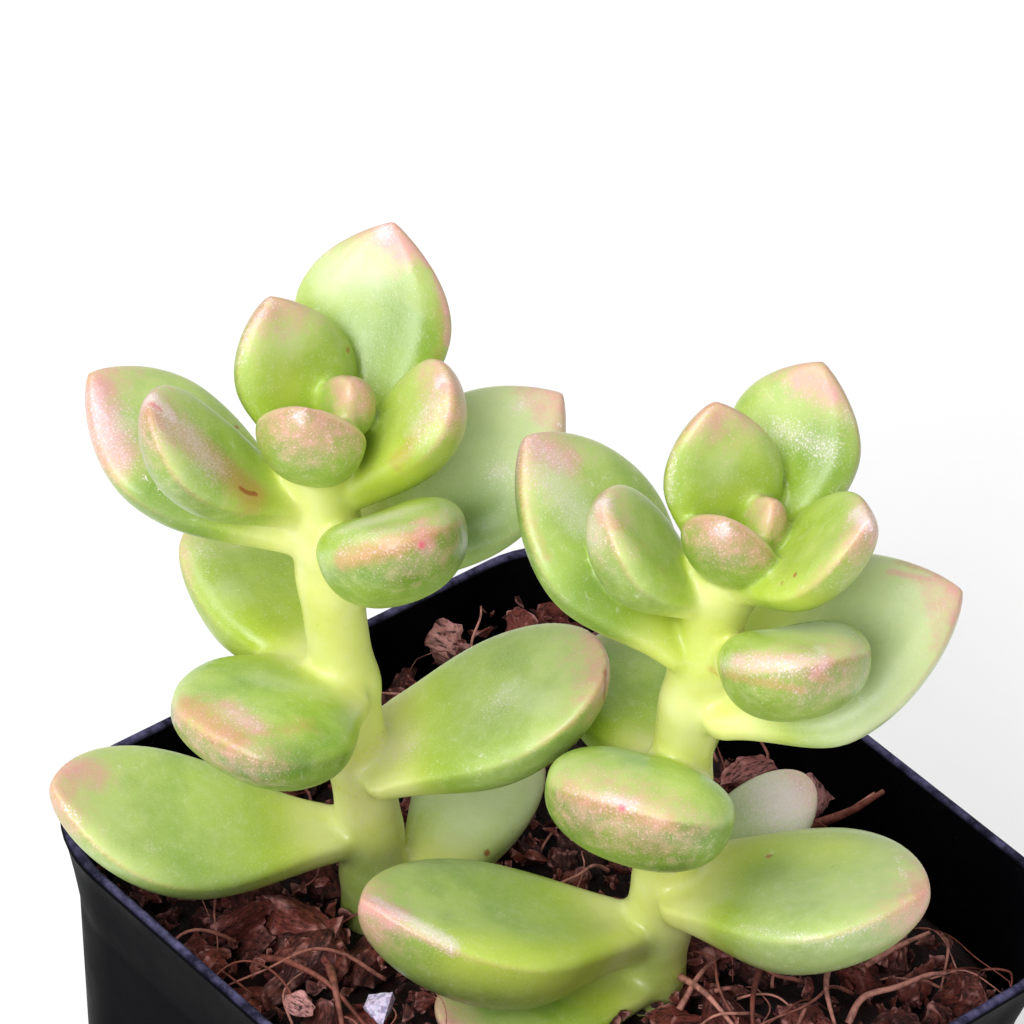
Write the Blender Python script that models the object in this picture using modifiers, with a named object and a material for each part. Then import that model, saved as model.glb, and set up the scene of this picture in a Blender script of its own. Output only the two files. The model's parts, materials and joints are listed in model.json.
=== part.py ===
"""A potted sedum: two leafy shoots standing in a square black nursery pot of bark and coir mix.

The origin is the centre of the pot's underside, +Z up, with the pot's sides along X and Y.
"""
import math
import random
from typing import NamedTuple

import bmesh
import bpy
import numpy as np
from mathutils import Matrix, Vector

MM = 0.001
GAP = 0.3 * MM  # left between pieces that touch

# Pot
POT_HEIGHT = 55 * MM
POT_WALL = 0.9 * MM
POT_CORNER = 0.35  # corner radius as a share of the half width
POT_CORNER_STEPS = 5
# Height and half width, from the foot to the flared rim
POT_PROFILE = ((0, 22.3 * MM), (48 * MM, 27 * MM), (51 * MM, 27.6 * MM), (POT_HEIGHT, 28.5 * MM))
DRAIN_RADIUS = 3 * MM
DRAIN_SIDES = 16
DRAIN_SPREAD = 13 * MM  # from the middle of the pot, along X and Y

# Potting mix
MIX_TOP = 48.5 * MM  # mean level of the mix
MIX_BED = 47.3 * MM  # the packed bed that the chips lie in
CHIP_COUNT = 100
CHIP_SIZE = (3.6 * MM, 7.4 * MM)
CHIP_FLATNESS = ((0.5, 0.8), (0.35, 0.55))  # width and thickness, as shares of the length
CHIP_WEAR = (0.75, 1.1)  # how far each corner is drawn in or out
CHIP_TILT = 0.35  # radians
CHIP_LIFT = (-0.2 * MM, 0.9 * MM)
CHIP_SHAKE = (0.1, 0.9)  # where a chip lies in its square of the grid
FIBRE_COUNT = 20
FIBRE_RADIUS = 0.5 * MM
FIBRE_LENGTH = (8 * MM, 15 * MM)
FIBRE_TAPER = 0.7
FIBRE_BEND = (-0.9, 0.9)  # radians, from end to end
FIBRE_ARCH = (2.2 * MM, 4.8 * MM)
FIBRE_SINK = 0.6 * MM
FIBRE_MARGIN = 4 * MM
FIBRE_SPANS = 6
MIX_SEED = 11

# Planting: the shoots are set out in a frame turned from the pot's sides
PLANTING_TURN = math.radians(42)
LEAF_AROUND = 12
LEAF_ALONG = 10
LEAF_TROUGH = 0.10  # depth of the hollow along the upper face, as a share of the thickness
LEAF_ROUNDING = (0.9, 0.85)  # powers that square the cross-section off a little, across and through
LEAF_DEPTH_SHAPE = (0.5, 0.52, 0.6)  # foot, belly and point of every leaf's thickness
LEAF_STEPS = 24  # steps that the bend of a leaf is summed in
LOW_LEAF = 8  # leaves rooted lower than this, in millimetres over the mix, press into its chips
STEM_BEVEL = 4  # gives a stem 12 sides
PATH_STEPS = 3

# Perlite
PERLITE_PLACE = (-11.3 * MM, -11.9 * MM, 49.6 * MM)
PERLITE_RADIUS = 1.3 * MM
PERLITE_WEAR = (0.86, 1.08)


class Leaf(NamedTuple):
    """One leaf, in millimetres, degrees and shares.

    Its root's height over the mix, its heading and rise, its size and its upward curl. Then its outline: its
    foot's share of the full width, how far along it is widest, and how pointed it ends. Then its twist, how far
    its tip drifts to the left, the share of its thickness above its margins, and how far its root stands aside
    from the stem's centre line.
    """

    height: float
    heading: float
    rise: float
    length: float
    width: float
    depth: float
    curl: float
    foot: float
    belly: float
    point: float
    twist: float
    sway: float
    top: float
    aside: tuple = (0, 0)


class Shoot(NamedTuple):
    """A stem's centre line in the planting frame, its radius at foot and tip, and its leaves."""

    path: tuple
    radii: tuple
    leaves: tuple


LEFT_SHOOT = Shoot(
    path=(
        (-12.9, 1.6, 38),
        (-13.2, 0.9, 48.5),
        (-14.8, 0.6, 58),
        (-17.4, 0.4, 68.5),
        (-20, 1, 80),
        (-21.2, 1.3, 87.5),
    ),
    radii=(2.4, 2.2),
    leaves=(
        # height, heading, rise, length, width, depth, curl, foot, belly, point, twist, sway, top, aside
        Leaf(38, 263, 60, 9.6, 7.5, 4.4, 24, 0.5, 0.65, 0.9, 6, -0.7, 0.34),
        Leaf(39.7, 18, 82, 7, 5, 3.8, 20, 0.6, 0.48, 0.69, 3, -1.8, 0.37),
        Leaf(36.4, 76, 52, 18.8, 11.2, 5.7, 30, 0.4, 0.63, 0.92, 3, 0.8, 0.37),
        Leaf(37.8, 134, 67, 13, 9.3, 4.3, 10, 0.51, 0.54, 0.86, -3, 1.8, 0.37),
        Leaf(35, 2, 61, 15.3, 7.4, 5.9, 22, 0.42, 0.75, 0.41, 17, -1.6, 0.34),
        Leaf(34.4, 202, 39, 17.2, 8.6, 5.2, 30, 0.36, 0.72, 0.53, -16, 0.4, 0.32),
        Leaf(32, 302, 40, 14.9, 10.5, 7.2, 6, 0.41, 0.51, 0.5, 6, -1, 0.41, (1.6, 0.1)),
        Leaf(32, 168, 23, 19.9, 11.7, 5.2, 28, 0.38, 0.63, 0.86, -8, -0.4, 0.36),
        Leaf(28.4, 35, 32, 20.7, 12.6, 6.3, 8, 0.41, 0.62, 0.92, 5, 0.8, 0.36),
        Leaf(20.3, 134, 11, 16.4, 10.3, 5.9, 22, 0.52, 0.52, 0.31, 1, 0.3, 0.36),
        Leaf(20.2, 232, 15, 15.7, 13.8, 6.5, 22, 0.5, 0.5, 0.35, 7, 2.1, 0.32),
        Leaf(13, 6, 39, 20.4, 13.3, 6.3, 6, 0.66, 0.58, 0.51, 2, -1.8, 0.21),
        Leaf(6.6, 201, 15, 24.7, 12.1, 5.9, 32, 0.33, 0.62, 0.71, -13, -0.4, 0.26),
        Leaf(2, 74, 12, 16.5, 9, 5.9, 12, 0.51, 0.64, 0.45, -1, -0.4, 0.37, (3.5, -1.4)),
    ),
)
RIGHT_SHOOT = Shoot(
    path=(
        (7.4, -2.2, 38),
        (7.4, -2.8, 48.5),
        (7, -3, 60),
        (6.6, -3.2, 70.5),
        (6.9, -3.2, 80),
        (7.4, -3.2, 87.5),
    ),
    radii=(2.3, 2.1),
    leaves=(
        # height, heading, rise, length, width, depth, curl, foot, belly, point, twist, sway, top, aside
        Leaf(37.4, 271, 65, 8.7, 6.8, 3.5, 14, 0.43, 0.62, 0.95, -16, -0.6, 0.38),
        Leaf(38.7, 13, 73, 6.7, 4.6, 2.9, 21, 0.6, 0.5, 0.79, 1, -1.1, 0.36),
        Leaf(36.8, 62, 49, 16.6, 10, 5.8, 25, 0.4, 0.66, 0.89, -3, 0.8, 0.36),
        Leaf(38, 116, 76, 12.7, 8.8, 3.7, 10, 0.51, 0.52, 0.82, 3, 1.4, 0.37),
        Leaf(36.7, 337, 51, 16, 9.6, 5, 8, 0.4, 0.58, 0.87, 16, -2.2, 0.25),
        Leaf(35, 193, 45, 12.9, 8.8, 5.3, 22, 0.38, 0.64, 0.66, -8, 0.3, 0.34),
        Leaf(31.2, 308, 38, 15.2, 10.9, 7, 6, 0.47, 0.57, 0.52, -8, -2.4, 0.45, (2.1, -0.2)),
        Leaf(30.3, 163, 40, 19.8, 13.2, 5.3, 8, 0.43, 0.56, 0.8, -7, -0.2, 0.38),
        Leaf(26.1, 14, 33, 20.3, 14.9, 6.3, 8, 0.55, 0.45, 0.82, 16, -1.1, 0.4),
        Leaf(19, 106, -3, 17, 12.1, 6, 25, 0.39, 0.62, 0.5, -2, 0.2, 0.36),
        Leaf(18, 244, 30, 12.9, 13.7, 7.9, 6, 0.7, 0.58, 0.35, 10, 1.1, 0.36),
        Leaf(9.3, 346, 23, 20.4, 15, 7, 8, 0.52, 0.55, 0.77, -6, -1.3, 0.2),
        Leaf(4.8, 208, 18, 24.9, 13.3, 7.9, 8, 0.3, 0.55, 0.79, 6, -0.4, 0.2),
        Leaf(6.4, 53, 9, 16.5, 6.4, 5.1, 6, 0.5, 0.61, 0.49, 22, 0.4, 0.36),
        Leaf(0.2, 214, 3, 17.5, 9.5, 5, 15, 0.5, 0.6, 0.5, 0, 0, 0.33),
    ),
)


def clear_scene():
    for obj in list(bpy.data.objects):
        bpy.data.objects.remove(obj)


def new_collection(name):
    collection = bpy.data.collections.new(name)
    bpy.context.scene.collection.children.link(collection)
    return collection


def material(name, colour, roughness):
    mat = bpy.data.materials.new(name)
    mat.use_nodes = True
    shader = mat.node_tree.nodes["Principled BSDF"]
    shader.inputs["Base Color"].default_value = (*colour, 1)
    shader.inputs["Roughness"].default_value = roughness
    shader.inputs["Metallic"].default_value = 0
    return mat


def object_from(bm, name, collection):
    """A mesh object made of a bmesh, with its normals facing out."""
    bmesh.ops.recalc_face_normals(bm, faces=bm.faces)
    if bm.calc_volume(signed=True) < 0:
        bmesh.ops.reverse_faces(bm, faces=bm.faces)
    mesh = bpy.data.meshes.new(name)
    bm.to_mesh(mesh)
    bm.free()
    obj = bpy.data.objects.new(name, mesh)
    collection.objects.link(obj)
    return obj


def finish(obj, mat):
    obj.data.materials.clear()
    obj.data.materials.append(mat)
    obj.data.shade_smooth()
    obj.data.set_sharp_from_angle(angle=math.radians(40))


def as_cutter(obj):
    obj.hide_render = True
    obj.display_type = "WIRE"
    return obj


def apply_modifiers(obj):
    """Replace the object's mesh with the one its modifiers give."""
    bpy.context.view_layer.update()
    evaluated = obj.evaluated_get(bpy.context.evaluated_depsgraph_get())
    result = bpy.data.meshes.new_from_object(evaluated)
    obj.modifiers.clear()
    obj.data = result


def boolean(obj, operation, collection, solver="EXACT"):
    """Join or cut the object with every object of a collection, which is then emptied."""
    modifier = obj.modifiers.new(operation.title(), "BOOLEAN")
    modifier.operation = operation
    modifier.operand_type = "COLLECTION"
    modifier.collection = collection
    modifier.solver = solver
    apply_modifiers(obj)
    for operand in list(collection.objects):
        bpy.data.objects.remove(operand)


def keep_largest_body(obj):
    """Drop the loose scraps that a cut leaves."""
    bm = bmesh.new()
    bm.from_mesh(obj.data)
    unseen = set(bm.verts)
    bodies = []
    while unseen:
        body = [unseen.pop()]
        for vert in body:
            linked = [edge.other_vert(vert) for edge in vert.link_edges]
            fresh = [other for other in linked if other in unseen]
            unseen.difference_update(fresh)
            body.extend(fresh)
        bodies.append(body)
    bodies.sort(key=len)
    scraps = [vert for body in bodies[:-1] for vert in body]
    bmesh.ops.delete(bm, geom=scraps, context="VERTS")
    bm.to_mesh(obj.data)
    bm.free()


def pot_half_width(z):
    levels, half_widths = zip(*POT_PROFILE)
    return float(np.interp(z, levels, half_widths))


def square_tub(bottom, top, inset):
    """A bmesh of a closed square tub with round corners that follows the pot's profile, set in from it."""
    bm = bmesh.new()
    bmesh.ops.create_cube(bm, size=2)
    uprights = [edge for edge in bm.edges if abs(edge.verts[0].co.z - edge.verts[1].co.z) > 1]
    round_off = {"offset": POT_CORNER, "segments": POT_CORNER_STEPS, "profile": 0.5, "affect": "EDGES"}
    bmesh.ops.bevel(bm, geom=uprights, **round_off)
    for level in [level for level, _ in POT_PROFILE if bottom < level < top]:
        height = 2 * (level - bottom) / (top - bottom) - 1
        everything = bm.verts[:] + bm.edges[:] + bm.faces[:]
        bmesh.ops.bisect_plane(bm, geom=everything, dist=1e-6, plane_co=(0, 0, height), plane_no=(0, 0, 1))
    for vert in bm.verts:
        z = bottom + (vert.co.z + 1) / 2 * (top - bottom)
        half_width = pot_half_width(z) - inset
        vert.co = Vector((vert.co.x * half_width, vert.co.y * half_width, z))
    return bm


def rod_bmesh(radius, length, sides):
    bm = bmesh.new()
    bmesh.ops.create_cone(bm, cap_ends=True, segments=sides, radius1=radius, radius2=radius, depth=length)
    return bm


def build_pot(parts, cutters):
    bm = square_tub(0, POT_HEIGHT, 0)
    lid = max(bm.faces, key=lambda face: face.calc_center_median().z)
    bmesh.ops.delete(bm, geom=[lid], context="FACES_ONLY")
    pot = object_from(bm, "pot", parts)
    shell = pot.modifiers.new("Wall", "SOLIDIFY")
    shell.thickness = POT_WALL
    shell.offset = -1
    shell.use_even_offset = True
    apply_modifiers(pot)
    for vert in pot.data.vertices:
        vert.co.z = min(vert.co.z, POT_HEIGHT)
    for x in (-DRAIN_SPREAD, DRAIN_SPREAD):
        for y in (-DRAIN_SPREAD, DRAIN_SPREAD):
            drain = rod_bmesh(DRAIN_RADIUS, 6 * POT_WALL, DRAIN_SIDES)
            bmesh.ops.translate(drain, verts=drain.verts, vec=(x, y, 0))
            as_cutter(object_from(drain, "drain", cutters))
    boolean(pot, "DIFFERENCE", cutters)
    return pot


def smooth_path(points, steps):
    """A Catmull-Rom curve through the points, with a number of steps to each span."""
    points = [Vector(point) for point in points]
    ends = [2 * points[0] - points[1], *points, 2 * points[-1] - points[-2]]
    path = []
    for a, b, c, d in zip(ends, ends[1:], ends[2:], ends[3:]):
        for step in range(steps):
            t = step / steps
            cubic = (3 * (b - c) + d - a) * t**3
            path.append((2 * b + (c - a) * t + (2 * a - 5 * b + 4 * c - d) * t**2 + cubic) / 2)
    path.append(points[-1])
    return path


def tube(name, path, radii, bevel_resolution, collection):
    """A round rod along a path, as a closed mesh; its radius runs evenly between the two given."""
    curve = bpy.data.curves.new(name, "CURVE")
    curve.dimensions = "3D"
    curve.bevel_depth = 1
    curve.bevel_resolution = bevel_resolution
    curve.use_fill_caps = True
    spline = curve.splines.new("POLY")
    spline.points.add(len(path) - 1)
    for i, (point, place) in enumerate(zip(spline.points, path)):
        point.co = (*place, 1)
        point.radius = radii[0] + (radii[1] - radii[0]) * i / (len(path) - 1)
    guide = bpy.data.objects.new(name, curve)
    collection.objects.link(guide)
    bpy.context.view_layer.update()
    mesh = bpy.data.meshes.new_from_object(guide.evaluated_get(bpy.context.evaluated_depsgraph_get()))
    place = guide.matrix_world.copy()
    bpy.data.objects.remove(guide)
    bm = bmesh.new()
    bm.from_mesh(mesh)
    bmesh.ops.remove_doubles(bm, verts=bm.verts, dist=1e-6)
    rod = object_from(bm, name, collection)
    rod.matrix_world = place
    return rod


def planting_matrix():
    return Matrix.Rotation(PLANTING_TURN, 4, "Z")


def stem_path(shoot):
    points = [planting_matrix() @ (Vector(point) * MM) for point in shoot.path]
    return smooth_path(points, PATH_STEPS)


def leaf_root(leaf, path):
    """Where a leaf grows from: on the stem's path, or a little aside from it."""
    z = MIX_TOP + leaf.height * MM
    heights = [point.z for point in path]
    x = np.interp(z, heights, [point.x for point in path])
    y = np.interp(z, heights, [point.y for point in path])
    return Vector((float(x), float(y), z)) + planting_matrix() @ (Vector((*leaf.aside, 0)) * MM)


def eased(x):
    """0 up to 0, 1 from 1 on, and a smooth rise between them."""
    x = min(max(x, 0.0), 1.0)
    return x * x * (3 - 2 * x)


def share_along(s, foot, belly, point):
    """What a leaf's width or thickness comes to at a share s of its length, with 1 at its belly."""
    if s < belly:
        return foot + (1 - foot) * eased(s / belly)
    return max(1 - ((s - belly) / (1 - belly)) ** 2, 0.0) ** point


def leaf_centre(leaf, s):
    """How far out and up the leaf's centre line is at a share s of its length, and its slope there."""
    out = up = 0.0
    for k in range(LEAF_STEPS):
        slope = math.radians(leaf.rise + leaf.curl * (s * (k + 0.5) / LEAF_STEPS - 0.5))
        out += math.cos(slope) * s / LEAF_STEPS
        up += math.sin(slope) * s / LEAF_STEPS
    return out * leaf.length * MM, up * leaf.length * MM, math.radians(leaf.rise + leaf.curl * (s - 0.5))


def leaf_solid(leaf, root, name, collection, grown=0.0):
    """A plump leaf: a sphere drawn out along an upward curve, flatter and hollowed on its upper face."""
    bm = bmesh.new()
    bmesh.ops.create_uvsphere(bm, u_segments=LEAF_AROUND, v_segments=LEAF_ALONG, radius=1)
    heading = PLANTING_TURN + math.radians(leaf.heading)
    forward = Vector((math.cos(heading), math.sin(heading), 0))
    across = Vector((-forward.y, forward.x, 0))
    for vert in bm.verts:
        s = (1 + vert.co.z) / 2
        turn = math.atan2(vert.co.y, vert.co.x)
        out, up, slope = leaf_centre(leaf, s)
        half_width = share_along(s, leaf.foot, leaf.belly, leaf.point) * leaf.width * MM / 2 + grown
        depth = share_along(s, *LEAF_DEPTH_SHAPE) * leaf.depth * MM + 2 * grown
        side = half_width * math.copysign(abs(math.cos(turn)) ** LEAF_ROUNDING[0], math.cos(turn))
        swell = abs(math.sin(turn)) ** LEAF_ROUNDING[1]
        if turn > 0:
            lift = depth * (leaf.top * swell - LEAF_TROUGH * math.sin(turn) ** 6)
        else:
            lift = -depth * (1 - leaf.top) * swell
        if math.hypot(vert.co.x, vert.co.y) < 1e-6:
            side = lift = 0.0
            out += math.copysign(grown, vert.co.z)
        twist = math.radians(leaf.twist) * eased(2 * s)
        drift = leaf.sway * MM * s**2
        sideways = across * (side * math.cos(twist) - lift * math.sin(twist) + drift)
        normal = forward * -math.sin(slope) + Vector((0, 0, math.cos(slope)))
        upwards = normal * (side * math.sin(twist) + lift * math.cos(twist))
        vert.co = root + forward * out + Vector((0, 0, up)) + sideways + upwards
    return object_from(bm, name, collection)


def build_shoot(name, shoot, parts, joined):
    path = stem_path(shoot)
    stem = tube(name, path, [radius * MM for radius in shoot.radii], STEM_BEVEL, parts)
    for leaf in shoot.leaves:
        leaf_solid(leaf, leaf_root(leaf, path), "leaf", joined)
    boolean(stem, "UNION", joined, "MANIFOLD")
    return stem


def build_perlite(parts, grown=0.0):
    """A rough mineral chip: an icosphere pushed in and out by a fixed draw."""
    draw = random.Random(MIX_SEED)
    bm = bmesh.new()
    bmesh.ops.create_icosphere(bm, subdivisions=2, radius=PERLITE_RADIUS)
    for vert in bm.verts:
        vert.co *= draw.uniform(*PERLITE_WEAR)
        vert.co += vert.co.normalized() * grown
    chip = object_from(bm, "perlite_chip", parts)
    chip.location = planting_matrix() @ Vector(PERLITE_PLACE)
    return chip


def scatter_chips(draw, bits):
    """Bark chips: boxes of uneven sides, tumbled and half sunk in the bed, on a shaken square grid."""
    half = pot_half_width(MIX_TOP)
    columns = math.ceil(math.sqrt(CHIP_COUNT))
    pitch = 2 * half / columns
    for i in range(CHIP_COUNT):
        bm = bmesh.new()
        bmesh.ops.create_cube(bm, size=1)
        long_side = draw.uniform(*CHIP_SIZE)
        sides = [long_side] + [long_side * draw.uniform(*share) for share in CHIP_FLATNESS]
        for vert in bm.verts:
            vert.co = Vector([co * side * draw.uniform(*CHIP_WEAR) for co, side in zip(vert.co, sides)])
        tumble = Matrix.Rotation(draw.uniform(0, math.tau), 4, "Z")
        tumble @= Matrix.Rotation(draw.gauss(0, CHIP_TILT), 4, "X")
        bmesh.ops.transform(bm, matrix=tumble, verts=bm.verts)
        x = -half + pitch * (i % columns + draw.uniform(*CHIP_SHAKE))
        y = -half + pitch * (i // columns + draw.uniform(*CHIP_SHAKE))
        bmesh.ops.translate(bm, verts=bm.verts, vec=(x, y, MIX_BED + draw.uniform(*CHIP_LIFT)))
        object_from(bm, "chip", bits)


def scatter_fibres(draw, bits):
    """Coir fibres: thin arched rods that start and end in the mix."""
    half = pot_half_width(MIX_TOP) - FIBRE_MARGIN
    for _ in range(FIBRE_COUNT):
        start = Vector((draw.uniform(-half, half), draw.uniform(-half, half), MIX_BED - FIBRE_SINK))
        heading = draw.uniform(0, math.tau)
        length = draw.uniform(*FIBRE_LENGTH)
        bend = draw.uniform(*FIBRE_BEND)
        arch = draw.uniform(*FIBRE_ARCH)
        path = []
        for k in range(FIBRE_SPANS + 1):
            t = k / FIBRE_SPANS
            turn = heading + bend * t
            step = Vector((math.cos(turn), math.sin(turn), 0)) * length * t
            path.append(start + step + Vector((0, 0, arch * math.sin(math.pi * t))))
        tube("fibre", path, (FIBRE_RADIUS, FIBRE_RADIUS * FIBRE_TAPER), 0, bits)


def mix_clearances(cutters):
    """What the mix makes room for: the stems' holes, the lowest leaves and the perlite chip."""
    for shoot in (LEFT_SHOOT, RIGHT_SHOOT):
        path = stem_path(shoot)
        path[0] -= Vector((0, 0, GAP))
        hole = [radius * MM + GAP for radius in shoot.radii]
        as_cutter(tube("stem_hole", path, hole, STEM_BEVEL, cutters))
        for leaf in shoot.leaves:
            if leaf.height < LOW_LEAF:
                as_cutter(leaf_solid(leaf, leaf_root(leaf, path), "leaf_press", cutters, grown=GAP))
    as_cutter(build_perlite(cutters, grown=GAP))


def build_mix(parts, joined, cutters):
    floor = POT_WALL + GAP
    inset = POT_WALL + 2 * GAP
    draw = random.Random(MIX_SEED)
    mix = object_from(square_tub(floor, MIX_BED, inset), "soil", parts)
    scatter_chips(draw, joined)
    scatter_fibres(draw, joined)
    boolean(mix, "UNION", joined, "MANIFOLD")
    object_from(square_tub(floor, POT_HEIGHT, inset), "inside_of_pot", joined)
    boolean(mix, "INTERSECT", joined, "MANIFOLD")
    mix_clearances(cutters)
    boolean(mix, "DIFFERENCE", cutters, "MANIFOLD")
    keep_largest_body(mix)
    return mix


def main():
    clear_scene()
    parts = new_collection("potted_sedum")
    joined = new_collection("joined")
    cutters = new_collection("cutters")
    finish(build_pot(parts, cutters), material("pot_plastic", (0.012, 0.012, 0.015), 0.35))
    finish(build_mix(parts, joined, cutters), material("bark_mix", (0.09, 0.032, 0.022), 0.85))
    sedum_skin = material("sedum_skin", (0.33, 0.50, 0.07), 0.38)
    finish(build_shoot("leafy_stem_left", LEFT_SHOOT, parts, joined), sedum_skin)
    finish(build_shoot("leafy_stem_right", RIGHT_SHOOT, parts, joined), sedum_skin)
    finish(build_perlite(parts), material("perlite", (0.72, 0.68, 0.76), 0.8))
    for collection in (joined, cutters):
        bpy.data.collections.remove(collection)


main()
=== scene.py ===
"""The looks of the potted sedum: two leafy shoots, bark and coir mix, a perlite chip and a black pot."""
import json
import math
import random
from typing import NamedTuple

import bmesh
import bpy
import numpy as np
from mathutils import Matrix, Vector, noise
from mathutils.bvhtree import BVHTree

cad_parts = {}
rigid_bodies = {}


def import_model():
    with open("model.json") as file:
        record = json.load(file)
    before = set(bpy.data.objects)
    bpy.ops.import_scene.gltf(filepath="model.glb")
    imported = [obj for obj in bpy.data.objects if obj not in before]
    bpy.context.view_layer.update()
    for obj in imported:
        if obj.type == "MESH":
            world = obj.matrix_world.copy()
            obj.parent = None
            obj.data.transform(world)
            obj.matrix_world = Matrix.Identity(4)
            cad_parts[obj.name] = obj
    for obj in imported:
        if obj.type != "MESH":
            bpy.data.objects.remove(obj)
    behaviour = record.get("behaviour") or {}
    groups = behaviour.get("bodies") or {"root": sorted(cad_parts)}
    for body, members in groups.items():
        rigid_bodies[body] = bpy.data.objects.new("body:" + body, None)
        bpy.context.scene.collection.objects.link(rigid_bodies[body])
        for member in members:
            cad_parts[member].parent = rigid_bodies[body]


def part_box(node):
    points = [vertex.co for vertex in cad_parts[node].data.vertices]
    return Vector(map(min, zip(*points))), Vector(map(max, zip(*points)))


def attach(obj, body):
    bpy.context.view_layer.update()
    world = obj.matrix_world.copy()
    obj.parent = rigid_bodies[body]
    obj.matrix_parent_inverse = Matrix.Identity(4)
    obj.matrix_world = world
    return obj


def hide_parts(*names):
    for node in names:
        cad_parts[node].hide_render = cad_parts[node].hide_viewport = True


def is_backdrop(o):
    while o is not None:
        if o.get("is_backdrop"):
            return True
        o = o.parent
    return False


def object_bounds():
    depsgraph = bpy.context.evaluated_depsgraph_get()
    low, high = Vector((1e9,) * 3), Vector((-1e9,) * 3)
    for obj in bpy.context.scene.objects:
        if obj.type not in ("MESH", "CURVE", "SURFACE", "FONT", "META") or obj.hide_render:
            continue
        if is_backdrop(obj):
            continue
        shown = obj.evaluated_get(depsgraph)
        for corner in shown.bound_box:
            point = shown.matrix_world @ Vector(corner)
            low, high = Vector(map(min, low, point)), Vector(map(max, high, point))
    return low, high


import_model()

FRAME_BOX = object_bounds()
MM = 0.001

# Camera, fitted to the pot's rim in the photo
PHOTO_SIZE = 1024  # pixels each way
VIEW_TURN = math.radians(42)
VIEW_RISE = math.radians(38.8)
VIEW_ROLL = math.radians(8.9)
VIEW_TARGET = Vector((-31.5, 23.6, 55)) * MM
VIEW_DISTANCE = 458.5 * MM
LENS = 210.94
SENSOR = 36

# Soft lights: name, degrees to the right of straight away from the camera, rise, metres across, watts
LIGHT_DISTANCE = 1.6
LIGHT_AIM = Vector((0, 0, 70 * MM))
SOFT_LIGHTS = (("key", -115, 55, 1.4, 16.4), ("window", -160, 36, 0.72, 12.8))
WORLD_STRENGTH = 0.5
FLOOR_HALF = 4.0
FLOOR_TONES = (0.95, 0.97)

# Pot, as in the CAD: height and half width, from the foot to the flared rim
POT_HEIGHT = 55 * MM
POT_WALL = 0.9 * MM
POT_CORNER = 0.35  # corner radius as a share of the half width
POT_PROFILE = ((0, 22.3 * MM), (48 * MM, 27 * MM), (51 * MM, 27.6 * MM), (POT_HEIGHT, 28.5 * MM))
POT_CORNER_STEPS = 14
POT_SIDE_STEPS = 12
FLOOR_MIDDLE = 18 * MM  # half width of the flat face in the middle of the pot's floor
DRAIN_RADIUS = 3 * MM
DRAIN_SPREAD = 13 * MM
DRAIN_SIDES = 48
LIP_STEPS = 8
OUTER_LEVELS = (0.25, 0.8, 4, 12, 24, 36, 47.6, 48, 48.4, 50.7, 51.2, 53, 54.2)  # rings of the wall, in mm
INNER_LEVELS = (54.2, 53, 51.2, 50.7, 48, 36, 24, 12, 4, 1.6, 1.0)
POT_SHARP = math.radians(50)

# Potting mix
MIX_TOP = 48.5 * MM
BED_TOP = 46.4 * MM
BED_RELIEF = 1.1 * MM
BED_GRAIN = 3 * MM
BED_SIDE_RINGS = 12
BED_TOP_RINGS = 60
BED_INSET = 0.6 * MM  # between the bed and the pot's wall
BED_LIFT = 0.3 * MM  # and over its floor
SHADED_DEPTH = 2.2 * MM  # how high over the bed the painted shade of the gaps reaches
MOUND_AT = (-23 * MM, 16 * MM)
MOUND_REACH = 9 * MM
MOUND_RISE = 3.4 * MM
CHIPS = {"count": 185, "sizes": (2.6 * MM, 6.4 * MM), "tilt": 0.5, "lift": (0, 2.4 * MM)}
CRUMBS = {"count": 1300, "sizes": (0.6 * MM, 2.2 * MM), "tilt": 0.8, "lift": (0.6 * MM, 2.8 * MM)}
MIX_SEED = 31
CHIP_SEED = 4
CRUMB_SEED = 9
FIBRE_SEED = 23
PERLITE_SEED = 3
SCATTER = (-0.2, 1.2)  # where a shard may lie in its square of the bed, and over the square's edges
SHARD_WIDTHS = (0.55, 0.9)  # and thicknesses, as shares of a shard's length
SHARD_DEPTHS = (0.4, 0.75)
COARSE_RELIEF = (2.0, 5.0, 5.0)  # how closely the relief follows on itself along a shard and across it
FINE_RELIEF = (5.0, 16.0, 16.0)
FINE_SHARE = 0.25
WEAR_AND_HIGHLIGHT = 0.35  # how readily an edge that stands out is lightened, as wear and painted highlight
CHIP_SHARP = math.radians(62)
PERLITE_SHARP = math.radians(35)
SEARCH_REACH = 4 * MM  # how far from a leaf's skin a chip is still looked for under it
CHIP_MARGIN = 0.15 * MM  # what a chip keeps clear of the wall and the shoots
DEEPEST_DROP = 1.6 * MM  # a chip that would have to sink further than this is left out
FIBRE_COUNT = 95
FIBRE_SIDES = 7
FIBRE_STEPS = 16
FIBRE_LENGTHS = (4, 13)  # these four in millimetres
FIBRE_ARCHES = (0.6, 3.2)
FIBRE_RADII = (0.06, 0.17)
FIBRE_LIFT = (1.0, 2.4)
FIBRE_TAPER = 0.55
FIBRE_MARGIN = 0.1 * MM
# Chips that stand out in the photo: place in the planting frame, size in mm, tilt and turn, tone
HERO_CHIPS = (
    ((-19.3, -5.2, 49.0), 8.5, 12, 35, 0.75),
    ((-11.5, 26.6, 51.5), 4.6, 65, 20, 1.6),
    ((9.6, -7.4, 47.6), 6.0, 5, 60, 0.8),
    ((-24.0, -10.6, 49.0), 4.5, 25, 100, 0.9),
    ((-17.0, -12.4, 49.2), 2.6, 20, 10, 1.5),
    ((13.0, 19.0, 49.4), 5.5, 20, 80, 1.2),
    ((17.8, 17.4, 49.8), 4.0, 30, 140, 1.4),
)
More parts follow.
